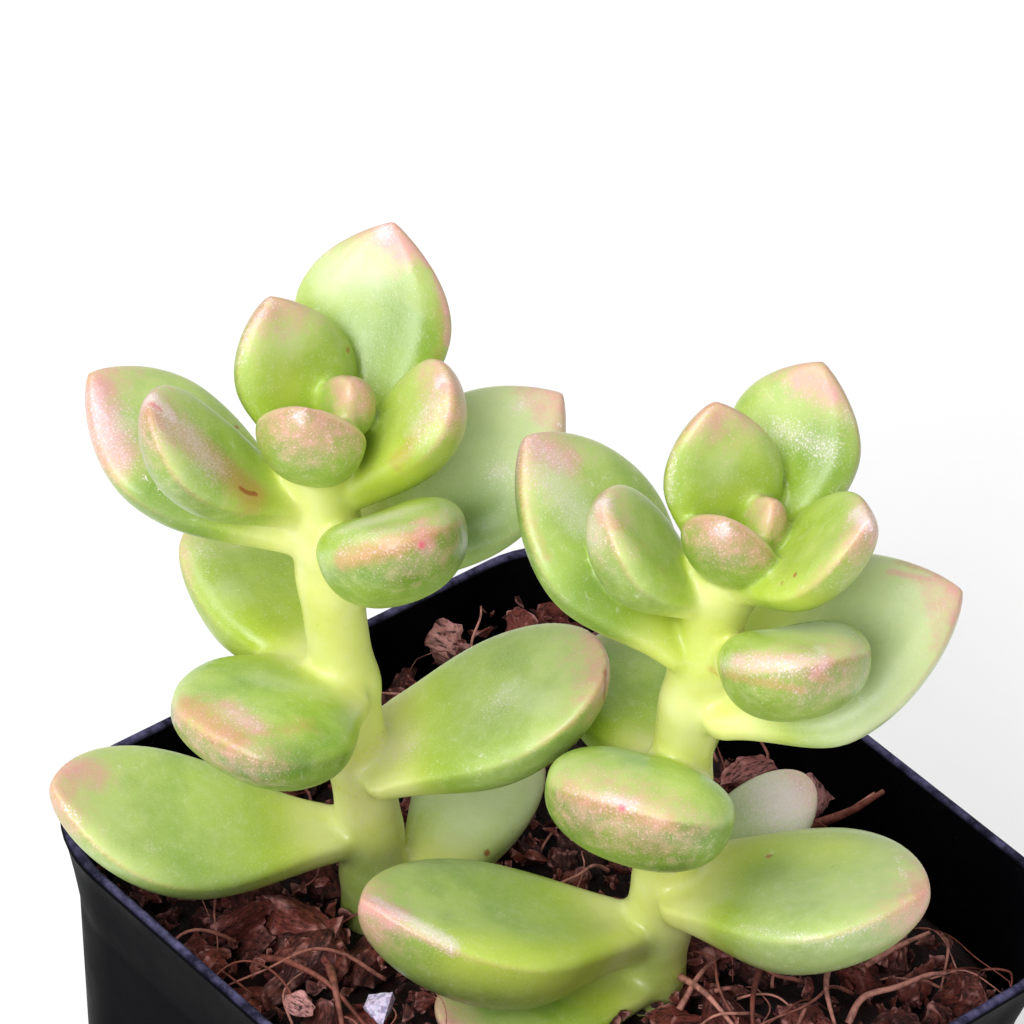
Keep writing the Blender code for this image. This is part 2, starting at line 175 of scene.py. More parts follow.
# Radius and route, in the planting frame, of each fibre that stands out in the photo
HERO_FIBRES = (
    (0.30, (21.7, -5.5, 49), (22.5, -4.2, 50.5), (24.8, -3.6, 51.5), (26.9, -1.9, 51.5),
     (28.2, -1.2, 51.3)),
    (0.22, (24.8, -3.6, 51.4), (26.4, -2.0, 51), (28.0, -1.6, 50.2)),
    (0.26, (19.9, -0.4, 49.5), (19.8, -4.8, 51), (21.0, -6.7, 49)),
    (0.28, (15.1, -1.1, 49), (14.6, -6.6, 51), (15.1, -8.8, 49)),
    (0.30, (8.6, -3.0, 49), (11.1, -6.5, 50.8), (13.9, -8.6, 49.5)),
    (0.26, (9.6, -6.8, 49), (10.7, -4.5, 50.5), (12.0, -0.8, 49)),
    (0.22, (11.2, -6.1, 50.2), (12.9, -5.7, 50.8), (14.3, -4.1, 49)),
    (0.30, (22.0, 0.0, 49), (24.4, 0.7, 51.2), (26.8, 2.5, 51.6)),
    (0.18, (28.0, 5.3, 49), (28.3, 1.8, 51), (28.2, -0.4, 49)),
    (0.28, (17.9, -7.6, 49), (18.4, -6.7, 51)),
    (0.42, (17.6, 15.6, 48.2), (20.4, 14.7, 51.2), (22.4, 13.8, 54.4)),
    (0.24, (20.4, 14.7, 51.2), (22.0, 15.6, 52.6)),
    (0.30, (-20.4, -8.2, 49), (-18.2, -9.8, 50.5), (-15.1, -12.0, 51), (-12.0, -13.7, 49)),
    (0.38, (-15.5, -7.7, 49), (-14.8, -11.9, 51), (-13.7, -14.2, 49)),
)

# Planting: the shoots are set out in a frame turned from the pot's sides
PLANTING_TURN = math.radians(42)
SIDE_POWER = 0.9
ROOT_SWELL = 0.85  # power of the cross-section at the root, as a leaf's edge is at its tip: sharp above 1
DEPTH_SHAPE = (0.5, 0.52, 0.6)  # foot, belly and point of every leaf's thickness
ROOT_END = 0.08  # over this share of its length a leaf's root is rounded off
ROOT_NARROW = 0.3  # how much of its width is left at the very end
ROSE_REACH = 2.8 * MM  # how far the blush runs down from a leaf's tip
AMBER_REACH = 3.5 * MM
NODE_SWELL = 0.18 * MM  # how far the stem swells where a leaf joins it, and over what height
NODE_REACH = 1.6 * MM
LEAF_RINGS = 72
LEAF_AROUND = 72
STEM_RINGS = 120
STEM_AROUND = 48
PATH_STEPS = 3
VOXEL = 0.28 * MM
CREASE_ANGLE = math.radians(14)
CREASE_EDGES = 4  # over how many edges around a crease the smoothing fades
CREASE_PASSES = 16
CREASE_PULL = 0.6
STEM_ZONE = (4.2 * MM, 7 * MM)  # creases are smoothed up to this far from the stem's centre
ROSETTE_LEVELS = (78 * MM, 81 * MM)  # and little above these heights, where the young leaves part
MASK_PASSES = 8


class Leaf(NamedTuple):
    """One leaf, in millimetres, degrees and shares; its tip, rims, whitish waxy bloom, partly a painted
    sheen, and tone say how it is coloured.
    """

    name: str
    height: float
    heading: float
    rise: float
    length: float
    width: float
    depth: float
    curl: float
    foot: float
    belly: float
    point: float
    twist: float
    sway: float
    top: float
    aside: tuple = (0, 0)
    hollow: float = 0.10
    tip: float = 0.7
    rims: float = 0.5
    milk: float = 0.2
    tone: float = 0.3
    edge: float = 1.35


class Shoot(NamedTuple):
    """A stem's centre line in the planting frame, its radius at foot and tip, and its leaves."""

    path: tuple
    radii: tuple
    leaves: tuple


LEFT_SHOOT = Shoot(
    path=(
        (-12.9, 1.6, 38),
        (-13.2, 0.9, 48.5),
        (-14.8, 0.6, 58),
        (-17.4, 0.4, 68.5),
        (-20, 1, 80),
        (-21.2, 1.3, 87.5),
    ),
    radii=(2.4, 2.2),
    leaves=(
        # height, heading, rise, length, width, depth, curl, foot, belly, point, twist, sway, top, aside
        Leaf("L5", 38, 262.8, 60.3, 9.6, 7.5, 4.4, 24, 0.5, 0.65, 0.9, 6, -0.7, 0.34, edge=1),
        Leaf("L6", 39.7, 17.6, 81.7, 7, 5, 3.8, 20, 0.6, 0.48, 0.69, 3, -1.8, 0.37,
             tone=0.4, milk=0.3, edge=1),
        Leaf("L1", 36.4, 75.6, 51.8, 18.8, 11.2, 5.7, 30, 0.4, 0.63, 0.92, 3, 0.8, 0.37,
             hollow=0.15, milk=0.15),
        Leaf("L2", 37.8, 133.7, 66.6, 13, 9.3, 4.3, 10, 0.51, 0.54, 0.86, -3, 1.8, 0.37,
             hollow=0.14, tone=0.4),
        Leaf("L7", 35, 1.8, 61, 15.3, 7.4, 5.4, 22, 0.42, 0.75, 0.41, 17, -1.6, 0.34, tone=0.7, edge=1.1),
        Leaf("L4", 34.4, 202.2, 38.6, 17.2, 8.6, 5.2, 30, 0.36, 0.72, 0.53, -16, 0.4, 0.32,
             tone=0.2, milk=0.3, edge=1.05, tip=0.5),
        Leaf("L8", 32, 302.1, 40, 14.9, 10.5, 7.2, 6, 0.41, 0.51, 0.5, 6, -1, 0.38,
             (1.6, 0.1), tone=0.2, edge=0.95, tip=0.4),
        Leaf("L3", 32, 167.6, 22.8, 19.9, 11.7, 5.2, 28, 0.38, 0.63, 0.86, -8, -0.4, 0.36,
             milk=0.4, rims=0.8),
        Leaf("L9", 28.4, 34.6, 32.5, 20.7, 12.6, 6.3, 8, 0.41, 0.62, 0.92, 5, 0.8, 0.36,
             milk=0.8, tone=0.1),
        Leaf("L10", 20.3, 134.2, 11.3, 16.4, 10.3, 5.9, 22, 0.52, 0.52, 0.31, 1, 0.3, 0.36,
             tone=0.6, tip=0.4, edge=1.1),
        Leaf("L11", 20.2, 231.7, 14.9, 15.7, 13.8, 6.5, 22, 0.5, 0.5, 0.35, 7, 2.1, 0.36,
             hollow=0.03, tone=0.1, rims=0.1, edge=0.8, tip=0.5),
        Leaf("L12", 13, 5.8, 38.6, 20.4, 13.3, 6.3, 6, 0.66, 0.58, 0.51, 2, -1.8, 0.21, milk=0.4),
        Leaf("L13", 6.6, 200.6, 14.8, 24.7, 12.1, 5.9, 32, 0.33, 0.62, 0.71, -13, -0.4, 0.26, milk=0.4),
        Leaf("L14", 2, 73.7, 12.3, 16.5, 9, 5.9, 12, 0.51, 0.64, 0.45, -1, -0.4, 0.37,
             (3.5, -1.4), milk=0.8),
    ),
)
RIGHT_SHOOT = Shoot(
    path=(
        (7.4, -2.2, 38),
        (7.4, -2.8, 48.5),
        (7, -3, 60),
        (6.6, -3.2, 70.5),
        (6.9, -3.2, 80),
        (7.4, -3.2, 87.5),
    ),
    radii=(2.3, 2.1),
    leaves=(
        Leaf("R5", 37.4, 270.9, 65.2, 8.7, 6.8, 3.5, 14, 0.43, 0.62, 0.95, -16, -0.6, 0.38, edge=1),
        Leaf("R6", 38.7, 13.1, 72.9, 6.7, 4.6, 2.9, 21, 0.6, 0.5, 0.79, 1, -1.1, 0.36, tone=0.4, edge=1),
        Leaf("R1", 36.8, 62.1, 48.9, 16.6, 10, 5.8, 25, 0.4, 0.66, 0.89, -3, 0.8, 0.36,
             hollow=0.14, milk=0.1),
        Leaf("R2", 38, 115.6, 75.8, 12.7, 8.8, 3.7, 10, 0.51, 0.52, 0.82, 3, 1.4, 0.37,
             hollow=0.13, tone=0.4),
        Leaf("R7", 36.7, 336.8, 50.5, 16, 9.6, 4.4, 8, 0.4, 0.58, 0.87, 16, -2.2, 0.25, tone=0.5),
        Leaf("R4", 35, 192.7, 44.6, 12.9, 8.8, 5.3, 22, 0.38, 0.64, 0.66, -8, 0.3, 0.34,
             milk=0.3, edge=1.05, tip=0.5),
        Leaf("R8", 31.2, 307.7, 37.9, 15.2, 10.9, 7, 6, 0.47, 0.57, 0.52, -8, -2.4, 0.4,
             (2.1, -0.2), edge=0.95, tip=0.45),
        Leaf("R3", 30.3, 163.2, 40.4, 19.8, 13.2, 5.3, 8, 0.43, 0.56, 0.8, -7, -0.2, 0.38,
             milk=0.3, tone=0.2),
        Leaf("R9", 26.1, 13.8, 32.7, 20.3, 14.9, 6.3, 8, 0.55, 0.45, 0.82, 16, -1.1, 0.4,
             milk=0.9, tone=0.1),
        Leaf("R10", 19, 106, -3, 17, 12.1, 6, 25, 0.39, 0.62, 0.5, -2, 0.2, 0.36, tone=0.2, tip=0.3),
        Leaf("R11", 18, 243.7, 30.3, 12.9, 13.7, 7.9, 6, 0.7, 0.58, 0.35, 10, 1.1, 0.4,
             hollow=0.03, tone=0.1, rims=0.1, edge=0.8, tip=0.5),
        Leaf("R12", 9.3, 345.5, 23.3, 20.4, 15, 7, 8, 0.52, 0.55, 0.77, -6, -1.3, 0.2, milk=0.5),
        Leaf("R13", 4.8, 208.3, 18.3, 24.9, 13.3, 7.9, 8, 0.3, 0.55, 0.79, 6, -0.4, 0.2,
             tone=0.2, milk=0.3),
        Leaf("R14", 6.4, 52.9, 9.5, 16.5, 6.4, 5.1, 6, 0.5, 0.61, 0.49, 22, 0.4, 0.36,
             milk=0.9, tone=0.1),
        Leaf("R15", 0.2, 214, 3, 17.5, 9.5, 5, 15, 0.5, 0.6, 0.5, 0, 0, 0.33, tone=0.0),
    ),
)

# Marks on the skin, by kind: strength, reach in mm, and the pixels of the photo that each runs through
MARKS = {
    "rose": (
        (1.0, 1.8, (388, 230), (404, 246)), (0.9, 0.45, (404, 236), (434, 270), (447, 310), (448, 344)),
        (0.6, 1.0, (100, 376), (104, 400), (112, 440)), (0.7, 1.8, (302, 434)), (0.7, 0.8, (350, 383)),
        (0.6, 0.9, (446, 393)), (0.7, 1.1, (420, 522), (428, 545)), (1.0, 0.45, (422, 545)),
        (0.7, 1.5, (532, 396), (556, 420)), (0.5, 0.6, (184, 548), (190, 582)),
        (0.8, 1.3, (226, 706), (256, 728)), (0.6, 0.5, (601, 642), (609, 668)),
        (0.9, 1.8, (66, 768), (92, 772)), (0.6, 0.8, (820, 368)), (0.9, 1.5, (802, 378), (832, 392)),
        (0.5, 1.0, (715, 410)), (0.8, 1.8, (530, 442), (566, 458)), (0.5, 1.0, (605, 506)),
        (0.6, 1.5, (704, 530), (760, 556)), (0.7, 0.8, (768, 506)), (0.7, 1.1, (736, 660), (800, 660)),
        (0.8, 0.9, (815, 672), (828, 660)), (0.5, 0.8, (952, 590)), (0.5, 1.4, (932, 598), (946, 648)),
        (1.0, 0.45, (622, 808)), (0.7, 0.9, (616, 800), (640, 802)), (1.0, 1.6, (366, 902), (392, 914)),
        (0.6, 0.6, (392, 922), (430, 941), (454, 954)),
        (0.8, 0.35, (480, 386), (520, 384), (562, 396), (565, 424)),
        (0.8, 0.4, (890, 572), (934, 580), (957, 592), (952, 625)),
        (1.0, 2.0, (98, 385), (96, 420), (116, 452)), (0.7, 2.0, (800, 770), (808, 800)),
    ),
    "amber": (
        (0.5, 0.6, (440, 300), (443, 338), (438, 356)), (1.0, 1.8, (156, 412), (200, 448), (252, 492)),
        (0.6, 0.6, (366, 394), (371, 412)), (0.6, 0.8, (430, 416), (412, 440), (396, 464)),
        (0.9, 1.0, (340, 560), (385, 548), (430, 534)), (0.9, 1.5, (186, 706), (232, 738)),
        (0.5, 1.2, (250, 736), (310, 724)), (0.4, 0.5, (600, 695), (575, 722), (542, 741)),
        (0.5, 0.6, (521, 446), (523, 500), (545, 556)), (0.6, 0.9, (602, 520), (620, 526)),
        (0.3, 0.8, (642, 542), (674, 588)), (0.6, 0.8, (864, 531)), (0.4, 0.8, (848, 536), (802, 594)),
        (0.7, 0.5, (712, 670), (750, 680), (800, 690)), (0.8, 0.6, (822, 679)),
        (0.7, 0.7, (902, 562), (934, 572), (956, 588)), (0.7, 1.1, (566, 792), (600, 806), (668, 822)),
        (0.8, 1.0, (922, 886), (920, 900)), (0.6, 0.35, (268, 300), (244, 340)),
    ),
    # Whitish-pink waxy bloom, also placed as painted highlights and painted light.
    "bloom": (
        (0.8, 0.8, (384, 233)), (0.5, 0.4, (264, 312), (246, 335), (239, 362)), (0.5, 0.7, (270, 301)),
        (0.9, 0.35, (97, 405), (105, 420)), (0.9, 1.0, (152, 398), (172, 418)),
        (0.6, 1.8, (170, 425), (215, 462)), (0.7, 0.7, (298, 415)), (0.9, 0.8, (440, 383)),
        (0.5, 1.6, (418, 428), (432, 408)), (0.4, 1.1, (338, 532), (375, 515), (420, 507)),
        (0.3, 0.35, (322, 556), (370, 552), (420, 545)), (0.35, 1.2, (345, 545), (400, 528)),
        (0.5, 1.2, (500, 470)), (0.5, 0.9, (520, 405)), (0.4, 1.2, (202, 550)),
        (0.5, 0.8, (232, 712), (256, 726)), (0.3, 0.35, (230, 775), (260, 784), (290, 785)),
        (0.4, 2.0, (500, 700)), (0.4, 0.6, (150, 848)), (0.5, 1.2, (782, 430), (828, 450)),
        (0.4, 0.8, (850, 418)), (0.5, 0.4, (674, 438), (669, 500)), (0.5, 1.4, (534, 446), (560, 462)),
        (0.4, 2.0, (540, 470), (590, 530)), (0.9, 0.9, (602, 502)), (0.7, 0.9, (722, 530)),
        (0.8, 0.9, (856, 512), (870, 524)), (0.5, 0.9, (716, 664), (740, 662), (790, 668), (812, 658)),
        (0.6, 0.6, (820, 648), (822, 664)), (0.4, 0.35, (566, 788), (592, 797), (620, 807)),
        (0.6, 0.7, (608, 796), (634, 806)), (0.5, 0.4, (642, 870), (670, 873)),
        (0.4, 0.5, (742, 926), (828, 942), (882, 920)), (0.8, 0.7, (376, 900), (412, 920), (452, 944)),
        (0.6, 1.0, (96, 392), (104, 428), (124, 458)), (0.6, 2.2, (112, 425)),
        (0.7, 2.0, (190, 436), (205, 456)), (0.5, 2.0, (385, 742), (398, 752)),
        (0.35, 2.4, (348, 780), (352, 800)), (0.5, 1.4, (368, 522), (396, 514)), (0.4, 1.8, (238, 716)),
        (1.0, 3.4, (780, 800)),
    ),
    # White scratches, and painted glints.
    "chalk": (
        (0.8, 0.5, (153, 398), (163, 412)), (0.7, 0.2, (143, 476), (167, 498)), (0.8, 0.3, (560, 424)),
        (0.7, 0.25, (208, 571)), (0.45, 0.2, (480, 755), (520, 765)), (0.9, 0.4, (66, 806), (77, 819)),
        (0.5, 0.2, (602, 536), (624, 560)), (0.5, 0.2, (786, 681), (800, 699)),
        (0.5, 0.25, (641, 756), (669, 764)), (0.6, 0.3, (897, 857), (914, 903)), (0.5, 0.4, (450, 985)),
        (0.5, 0.15, (428, 413), (446, 417)), (0.5, 0.15, (376, 258), (423, 267)),
        (0.5, 0.15, (618, 462), (648, 490)), (0.5, 0.15, (605, 527), (631, 553)),
        (0.5, 0.15, (713, 675), (731, 696)),
    ),
    "scar": (
        (0.9, 0.25, (348, 350)), (0.7, 0.3, (237, 427)), (1.0, 0.2, (240, 488), (248, 493), (256, 494)),
        (0.8, 0.2, (212, 742)), (0.7, 0.35, (606, 672), (604, 700)), (0.9, 0.35, (487, 853)),
        (0.8, 0.3, (795, 575)), (0.7, 0.25, (782, 583)), (0.9, 0.3, (769, 856)),
    ),
    "ruby": (
        (0.9, 0.35, (422, 545)), (0.8, 0.35, (622, 808)), (0.6, 0.4, (152, 404), (160, 409)),
        (0.5, 0.5, (442, 386)), (0.4, 0.5, (600, 506)),
    ),
    # Whitish waxy bloom, also painted sheen where highlights fall.
    "milk": (
        (0.9, 2.4, (330, 270), (372, 262)), (0.5, 2.0, (290, 340)), (0.9, 2.2, (370, 520), (400, 512)),
        (0.5, 2.6, (690, 888), (704, 896)), (0.5, 2.2, (262, 678), (310, 690)), (0.5, 2.2, (230, 590)),
        (0.7, 2.0, (510, 690), (548, 706)), (0.9, 4.0, (470, 820)), (0.8, 2.4, (556, 480), (590, 530)),
        (0.5, 2.2, (720, 470)), (0.7, 3.0, (900, 640), (870, 690)), (0.4, 1.8, (640, 768)),
    ),
    "lime": (
        (1.0, 2.6, (680, 620), (684, 650)), (1.0, 2.6, (404, 476), (376, 498)), (0.7, 1.6, (290, 392)),
        (0.7, 2.0, (800, 606), (770, 616)), (0.6, 2.6, (770, 845), (830, 850)),
        (0.8, 3.0, (470, 965), (600, 985)),
    ),
    "pale": (
        (0.9, 2.4, (380, 742), (400, 746)), (0.9, 3.0, (690, 890)), (0.6, 2.6, (610, 930)),
    ),
    # Painted shade: darker green where leaves and stems lie in shade.
    "deep": (
        (0.6, 2.5, (770, 870)), (0.9, 3.0, (365, 872), (352, 905)), (0.7, 2.6, (652, 952), (660, 985)),
        (0.6, 3.0, (400, 318), (382, 352)), (0.55, 2.8, (824, 440), (828, 480)),
        (0.9, 1.5, (236, 768), (300, 764)), (0.4, 2.4, (450, 770)), (0.7, 2.0, (150, 500), (190, 530)),
        (0.9, 3.2, (480, 522), (455, 560)), (0.5, 2.4, (180, 880), (240, 896)), (0.4, 2.0, (385, 345)),
        (0.7, 2.4, (585, 600), (610, 640)),
    ),
}
MARK_STEP = 0.5  # a mark's line is cast once every so many reaches
PIXELS_PER_MM = 13.3  # in the photo, at the plant
# What is painted on the skins for the shader to read: facts of the leaf, then the kinds of marks
MASKS = ("along", "pale", "rim", "upper", "tip", "milk", "tone", "rims")
MASKS += ("rose", "amber", "bloom", "chalk", "scar", "deep", "lime", "ruby")
SHARP_MASKS = ("rim", "upper", "tip")
STEM_MASKS = {"pale": 1, "rim": 9, "tip": 30, "tone": 0.6}


def colour(red, green, blue):
    """A colour written as on a screen, 0 to 255, as the linear one that shaders take."""
    linear = []
    for value in (red, green, blue):
        share = value / 255
        linear.append(share / 12.92 if share <= 0.04045 else ((share + 0.055) / 1.055) ** 2.4)
    return (*linear, 1)


def eased(low, high, x):
    """0 below low, 1 above high, and a smooth rise between them."""
    t = np.clip((np.asarray(x, float) - low) / (high - low), 0, 1)
    return t * t * (3 - 2 * t)


def planting_matrix():
    return Matrix.Rotation(PLANTING_TURN, 4, "Z")


def planted(point):
    """A point of the planting frame, in millimetres, in the row frame."""
    return planting_matrix() @ (Vector(point) * MM)


class Shader:
    """A material's nodes: each method adds one and gives back its result."""

    def __init__(self, name, **settings):
        self.material = bpy.data.materials.new(name)
        self.material.use_nodes = True
        self.nodes = self.material.node_tree.nodes
        self.links = self.material.node_tree.links
        self.surface = self.nodes["Principled BSDF"]
        for socket, value in settings.items():
            self.surface.inputs[socket.replace("_", " ")].default_value = value

    def feed(self, socket, value):
        if isinstance(value, bpy.types.NodeSocket):
            self.links.new(value, socket)
        else:
            socket.default_value = value

    def one(self, kind):
        return self.nodes.new(kind)

    def place(self):
        return self.one("ShaderNodeTexCoord").outputs["Object"]

    def attribute(self, name, output="Fac"):
        node = self.one("ShaderNodeAttribute")
        node.attribute_name = name
        return node.outputs[output]

    def noise(self, size, detail=3, roughness=0.5, vector=None):
        """Cloudy noise from 0 to 1 whose blobs are about size metres across."""
        node = self.one("ShaderNodeTexNoise")
        node.inputs["Scale"].default_value = 1 / size
        node.inputs["Detail"].default_value = detail
        node.inputs["Roughness"].default_value = roughness
        self.feed(node.inputs["Vector"], vector or self.place())
        return node.outputs["Fac"]

    def stretched(self, scale, vector):
        """A place drawn out along its axes."""
        node = self.one("ShaderNodeMapping")
        self.feed(node.inputs["Vector"], vector)
        node.inputs["Scale"].default_value = scale
        return node.outputs["Vector"]

    def math(self, operation, a, b=0.0):
        node = self.one("ShaderNodeMath")
        node.operation = operation
        self.feed(node.inputs[0], a)
        self.feed(node.inputs[1], b)
        return node.outputs[0]

    def times(self, a, b):
        return self.math("MULTIPLY", a, b)

    def shaken(self, value, pattern, strength):
        """A value pushed up and down by a pattern from 0 to 1."""
        return self.math("ADD", value, self.times(self.math("SUBTRACT", pattern, 0.5), strength))

    def ramp(self, value, low, high, to_low=0.0, to_high=1.0):
        """A smooth step from to_low to to_high as the value goes from low to high."""
        node = self.one("ShaderNodeMapRange")
        node.interpolation_type = "SMOOTHSTEP"
        self.feed(node.inputs["Value"], value)
        limits = {"From Min": low, "From Max": high, "To Min": to_low, "To Max": to_high}
        for socket, number in limits.items():
            node.inputs[socket].default_value = number
        return node.outputs["Result"]

    def mix(self, share, a, b):
        node = self.one("ShaderNodeMix")
        node.data_type = "RGBA"
        self.feed(node.inputs["Factor"], share)
        first, second = [socket for socket in node.inputs if socket.type == "RGBA"]
        self.feed(first, a)
        self.feed(second, b)
        return [socket for socket in node.outputs if socket.type == "RGBA"][0]

    def bump(self, height, distance, strength=1.0, under=None):
        node = self.one("ShaderNodeBump")
        node.inputs["Strength"].default_value = strength
        node.inputs["Distance"].default_value = distance
        self.feed(node.inputs["Height"], height)
        if under is not None:
            self.feed(node.inputs["Normal"], under)
        return node.outputs["Normal"]

    def set(self, **results):
        for socket, value in results.items():
            self.feed(self.surface.inputs[socket.replace("_", " ")], value)
        return self.material


def add_object(name, data):
    obj = bpy.data.objects.new(name, data)
    bpy.context.scene.collection.objects.link(obj)
    return obj


def mesh_object(name, points, faces, material, attributes=None):
    mesh = bpy.data.meshes.new(name)
    mesh.from_pydata(np.asarray(points).tolist(), [], faces)
    mesh.update()
    mesh.shade_smooth()
    paint(mesh, attributes or {})
    mesh.materials.append(material)
    return add_object(name, mesh)


def paint(mesh, attributes):
    """Gives each point of a mesh its values, or its vectors, under the names that the shaders read."""
    for key, values in attributes.items():
        values = np.asarray(values, np.float32)
        if values.ndim == 2:
            mesh.attributes.new(key, "FLOAT_VECTOR", "POINT").data.foreach_set("vector", values.ravel())
        else:
            mesh.attributes.new(key, "FLOAT", "POINT").data.foreach_set("value", values)


def hand_in(obj, slot, *nodes):
    """Ties a finished piece to the part: its body, and the CAD nodes it stands for, which it hides; the
    slot is not used.
    """
    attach(obj, "root")
    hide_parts(*nodes)


def with_modifier(obj, kind, **settings):
    """Applies one modifier to the object's mesh."""
    modifier = obj.modifiers.new(kind, kind)
    for key, value in settings.items():
        setattr(modifier, key, value)
    bpy.context.view_layer.update()
    result = bpy.data.meshes.new_from_object(obj.evaluated_get(bpy.context.evaluated_depsgraph_get()))
    obj.modifiers.clear()
    obj.data = result


def smooth_path(points, steps):
    """A Catmull-Rom curve through the points, with a number of steps to each span."""
    points = [Vector(point) for point in points]
    ends = [2 * points[0] - points[1], *points, 2 * points[-1] - points[-2]]
    path = []
    for a, b, c, d in zip(ends, ends[1:], ends[2:], ends[3:]):
        for step in range(steps):
            t = step / steps
            cubic = (3 * (b - c) + d - a) * t**3
            path.append((2 * b + (c - a) * t + (2 * a - 5 * b + 4 * c - d) * t**2 + cubic) / 2)
    path.append(points[-1])
    return path


def stem_axis(shoot, heights):
    """The stem's centre at each height, as an array of points."""
    path = np.array(smooth_path([planted(point) for point in shoot.path], PATH_STEPS))
    heights = np.asarray(heights, float)
    x = np.interp(heights, path[:, 2], path[:, 0])
    y = np.interp(heights, path[:, 2], path[:, 1])
    return np.stack([x, y, heights], -1)


def share_along(s, foot, belly, point):
    """What a leaf's width or thickness comes to at shares s of its length, with 1 at its belly."""
    rise = foot + (1 - foot) * eased(0, belly, s)
    beyond = np.clip((s - belly) / (1 - belly), 0, 1)
    return np.where(s < belly, rise, (1 - beyond**2) ** point)


def leaf_skin(leaf, shoot):
    """A leaf's skin as rings of points from root to tip, with what the shading needs to know of each."""
    s = (1 - np.cos(np.linspace(0, math.pi, LEAF_RINGS + 1))) / 2
    turn = np.linspace(0, math.tau, LEAF_AROUND, endpoint=False)
    s, turn = np.meshgrid(s, turn, indexing="ij")
    curl = math.radians(leaf.curl)
    start = math.radians(leaf.rise) - curl / 2
    slope = start + curl * s
    length = leaf.length * MM
    out = (np.sin(slope) - math.sin(start)) / curl * length
    up = (math.cos(start) - np.cos(slope)) / curl * length
    half_width = share_along(s, leaf.foot, leaf.belly, leaf.point) * leaf.width * MM / 2
    rounding = np.sqrt(1 - (1 - np.clip(s / ROOT_END, 0, 1)) ** 2)
    half_width = half_width * (ROOT_NARROW + (1 - ROOT_NARROW) * rounding)
    depth = share_along(s, *DEPTH_SHAPE) * leaf.depth * MM
    side = half_width * np.sign(np.cos(turn)) * np.abs(np.cos(turn)) ** SIDE_POWER
    power = ROOT_SWELL + (leaf.edge - ROOT_SWELL) * eased(0.3, 0.9, s)
    swell = np.abs(np.sin(turn)) ** power
    top = depth * (leaf.top * swell - leaf.hollow * np.sin(turn) ** 6)
    lift = np.where(np.sin(turn) > 0, top, -depth * (1 - leaf.top) * swell)
    facts = {
        "s": s,
        "upper": (np.sin(turn) > 0).astype(float),
        "rim": np.hypot(half_width - np.abs(side), lift),
        "tip": (1 - s) * length,
    }
    twist = math.radians(leaf.twist) * eased(0, 0.5, s)
    drift = leaf.sway * MM * s**2
    sideways = side * np.cos(twist) - lift * np.sin(twist) + drift
    upwards = side * np.sin(twist) + lift * np.cos(twist)
    heading = PLANTING_TURN + math.radians(leaf.heading)
    forward = np.array((math.cos(heading), math.sin(heading), 0))
    across = np.array((-forward[1], forward[0], 0))
    above = np.array((0, 0, 1))
    normal = forward * -np.sin(slope)[..., None] + above * np.cos(slope)[..., None]
    root = stem_axis(shoot, [MIX_TOP + leaf.height * MM])[0] + np.array(planted((*leaf.aside, 0)))
    points = root + forward * out[..., None] + above * up[..., None]
    points = points + across * sideways[..., None] + normal * upwards[..., None]
    return points, facts


def ring_faces(rings, around, first=0):
    """Quads between rings of points, and a face at both ends."""
    faces = []
    for i in range(rings - 1):
        for k in range(around):
            a = first + i * around + k
            b = first + i * around + (k + 1) % around
            faces.append((a, b, b + around, a + around))
    faces.append(tuple(first + k for k in reversed(range(around))))
    faces.append(tuple(first + (rings - 1) * around + k for k in range(around)))
    return faces


def stem_skin(shoot):
    """The stem as rings of points, a little swollen where each leaf joins it."""
    low, high = shoot.path[0][2] * MM, shoot.path[-1][2] * MM
    heights = np.linspace(low, high, STEM_RINGS)
    centres = stem_axis(shoot, heights)
    radius = np.linspace(shoot.radii[0], shoot.radii[1], STEM_RINGS) * MM
    for leaf in shoot.leaves:
        away = (heights - MIX_TOP - leaf.height * MM) / NODE_REACH
        radius = radius + NODE_SWELL * np.exp(-(away**2))
    turn = np.linspace(0, math.tau, STEM_AROUND, endpoint=False)
    ring = np.stack([np.cos(turn), np.sin(turn), 0 * turn], -1)
    return centres[:, None, :] + ring[None] * radius[:, None, None]


def neighbours_mean(points, edges):
    """The mean of each point's neighbours over a mesh's edges."""
    total = np.zeros_like(points)
    count = np.zeros(len(points))
    for a, b in ((0, 1), (1, 0)):
        count += np.bincount(edges[:, a], minlength=len(points))
        for axis in range(points.shape[1]):
            weights = points[edges[:, b], axis]
            total[:, axis] += np.bincount(edges[:, a], weights=weights, minlength=len(points))
    return total / np.maximum(count, 1)[:, None]


def read(items, key, width=1, kind=float):
    """One property of all of a mesh's points, edges, corners or faces."""
    values = np.empty(len(items) * width, kind)
    items.foreach_get(key, values)
    return values.reshape(-1, width) if width > 1 else values


def mesh_arrays(mesh):
    return read(mesh.vertices, "co", 3), read(mesh.edges, "vertices", 2, int)


def crease_weight(mesh, points, edges):
    """1 on the inner creases where two forms meet, fading over a number of edges around them."""
    normals = read(mesh.polygons, "normal", 3)
    centres = read(mesh.polygons, "center", 3)
    edge_of_loop = read(mesh.loops, "edge_index", 1, int)
    sizes = read(mesh.polygons, "loop_total", 1, int)
    face_of_loop = np.repeat(np.arange(len(sizes)), sizes)
    order = np.argsort(edge_of_loop, kind="stable")
    sorted_edges = edge_of_loop[order]
    paired = np.flatnonzero(sorted_edges[1:] == sorted_edges[:-1])
    first, second = face_of_loop[order[paired]], face_of_loop[order[paired + 1]]
    inward = np.einsum("ij,ij->i", normals[first], centres[second] - centres[first]) > 0
    bend = np.einsum("ij,ij->i", normals[first], normals[second]) < math.cos(CREASE_ANGLE)
    weight = np.zeros(len(points))
    weight[edges[sorted_edges[paired[inward & bend]]].ravel()] = 1
    for _ in range(CREASE_EDGES):
        spread = weight.copy()
        np.maximum.at(spread, edges[:, 0], weight[edges[:, 1]] - 1 / CREASE_EDGES)
        np.maximum.at(spread, edges[:, 1], weight[edges[:, 0]] - 1 / CREASE_EDGES)
        weight = spread
    return weight


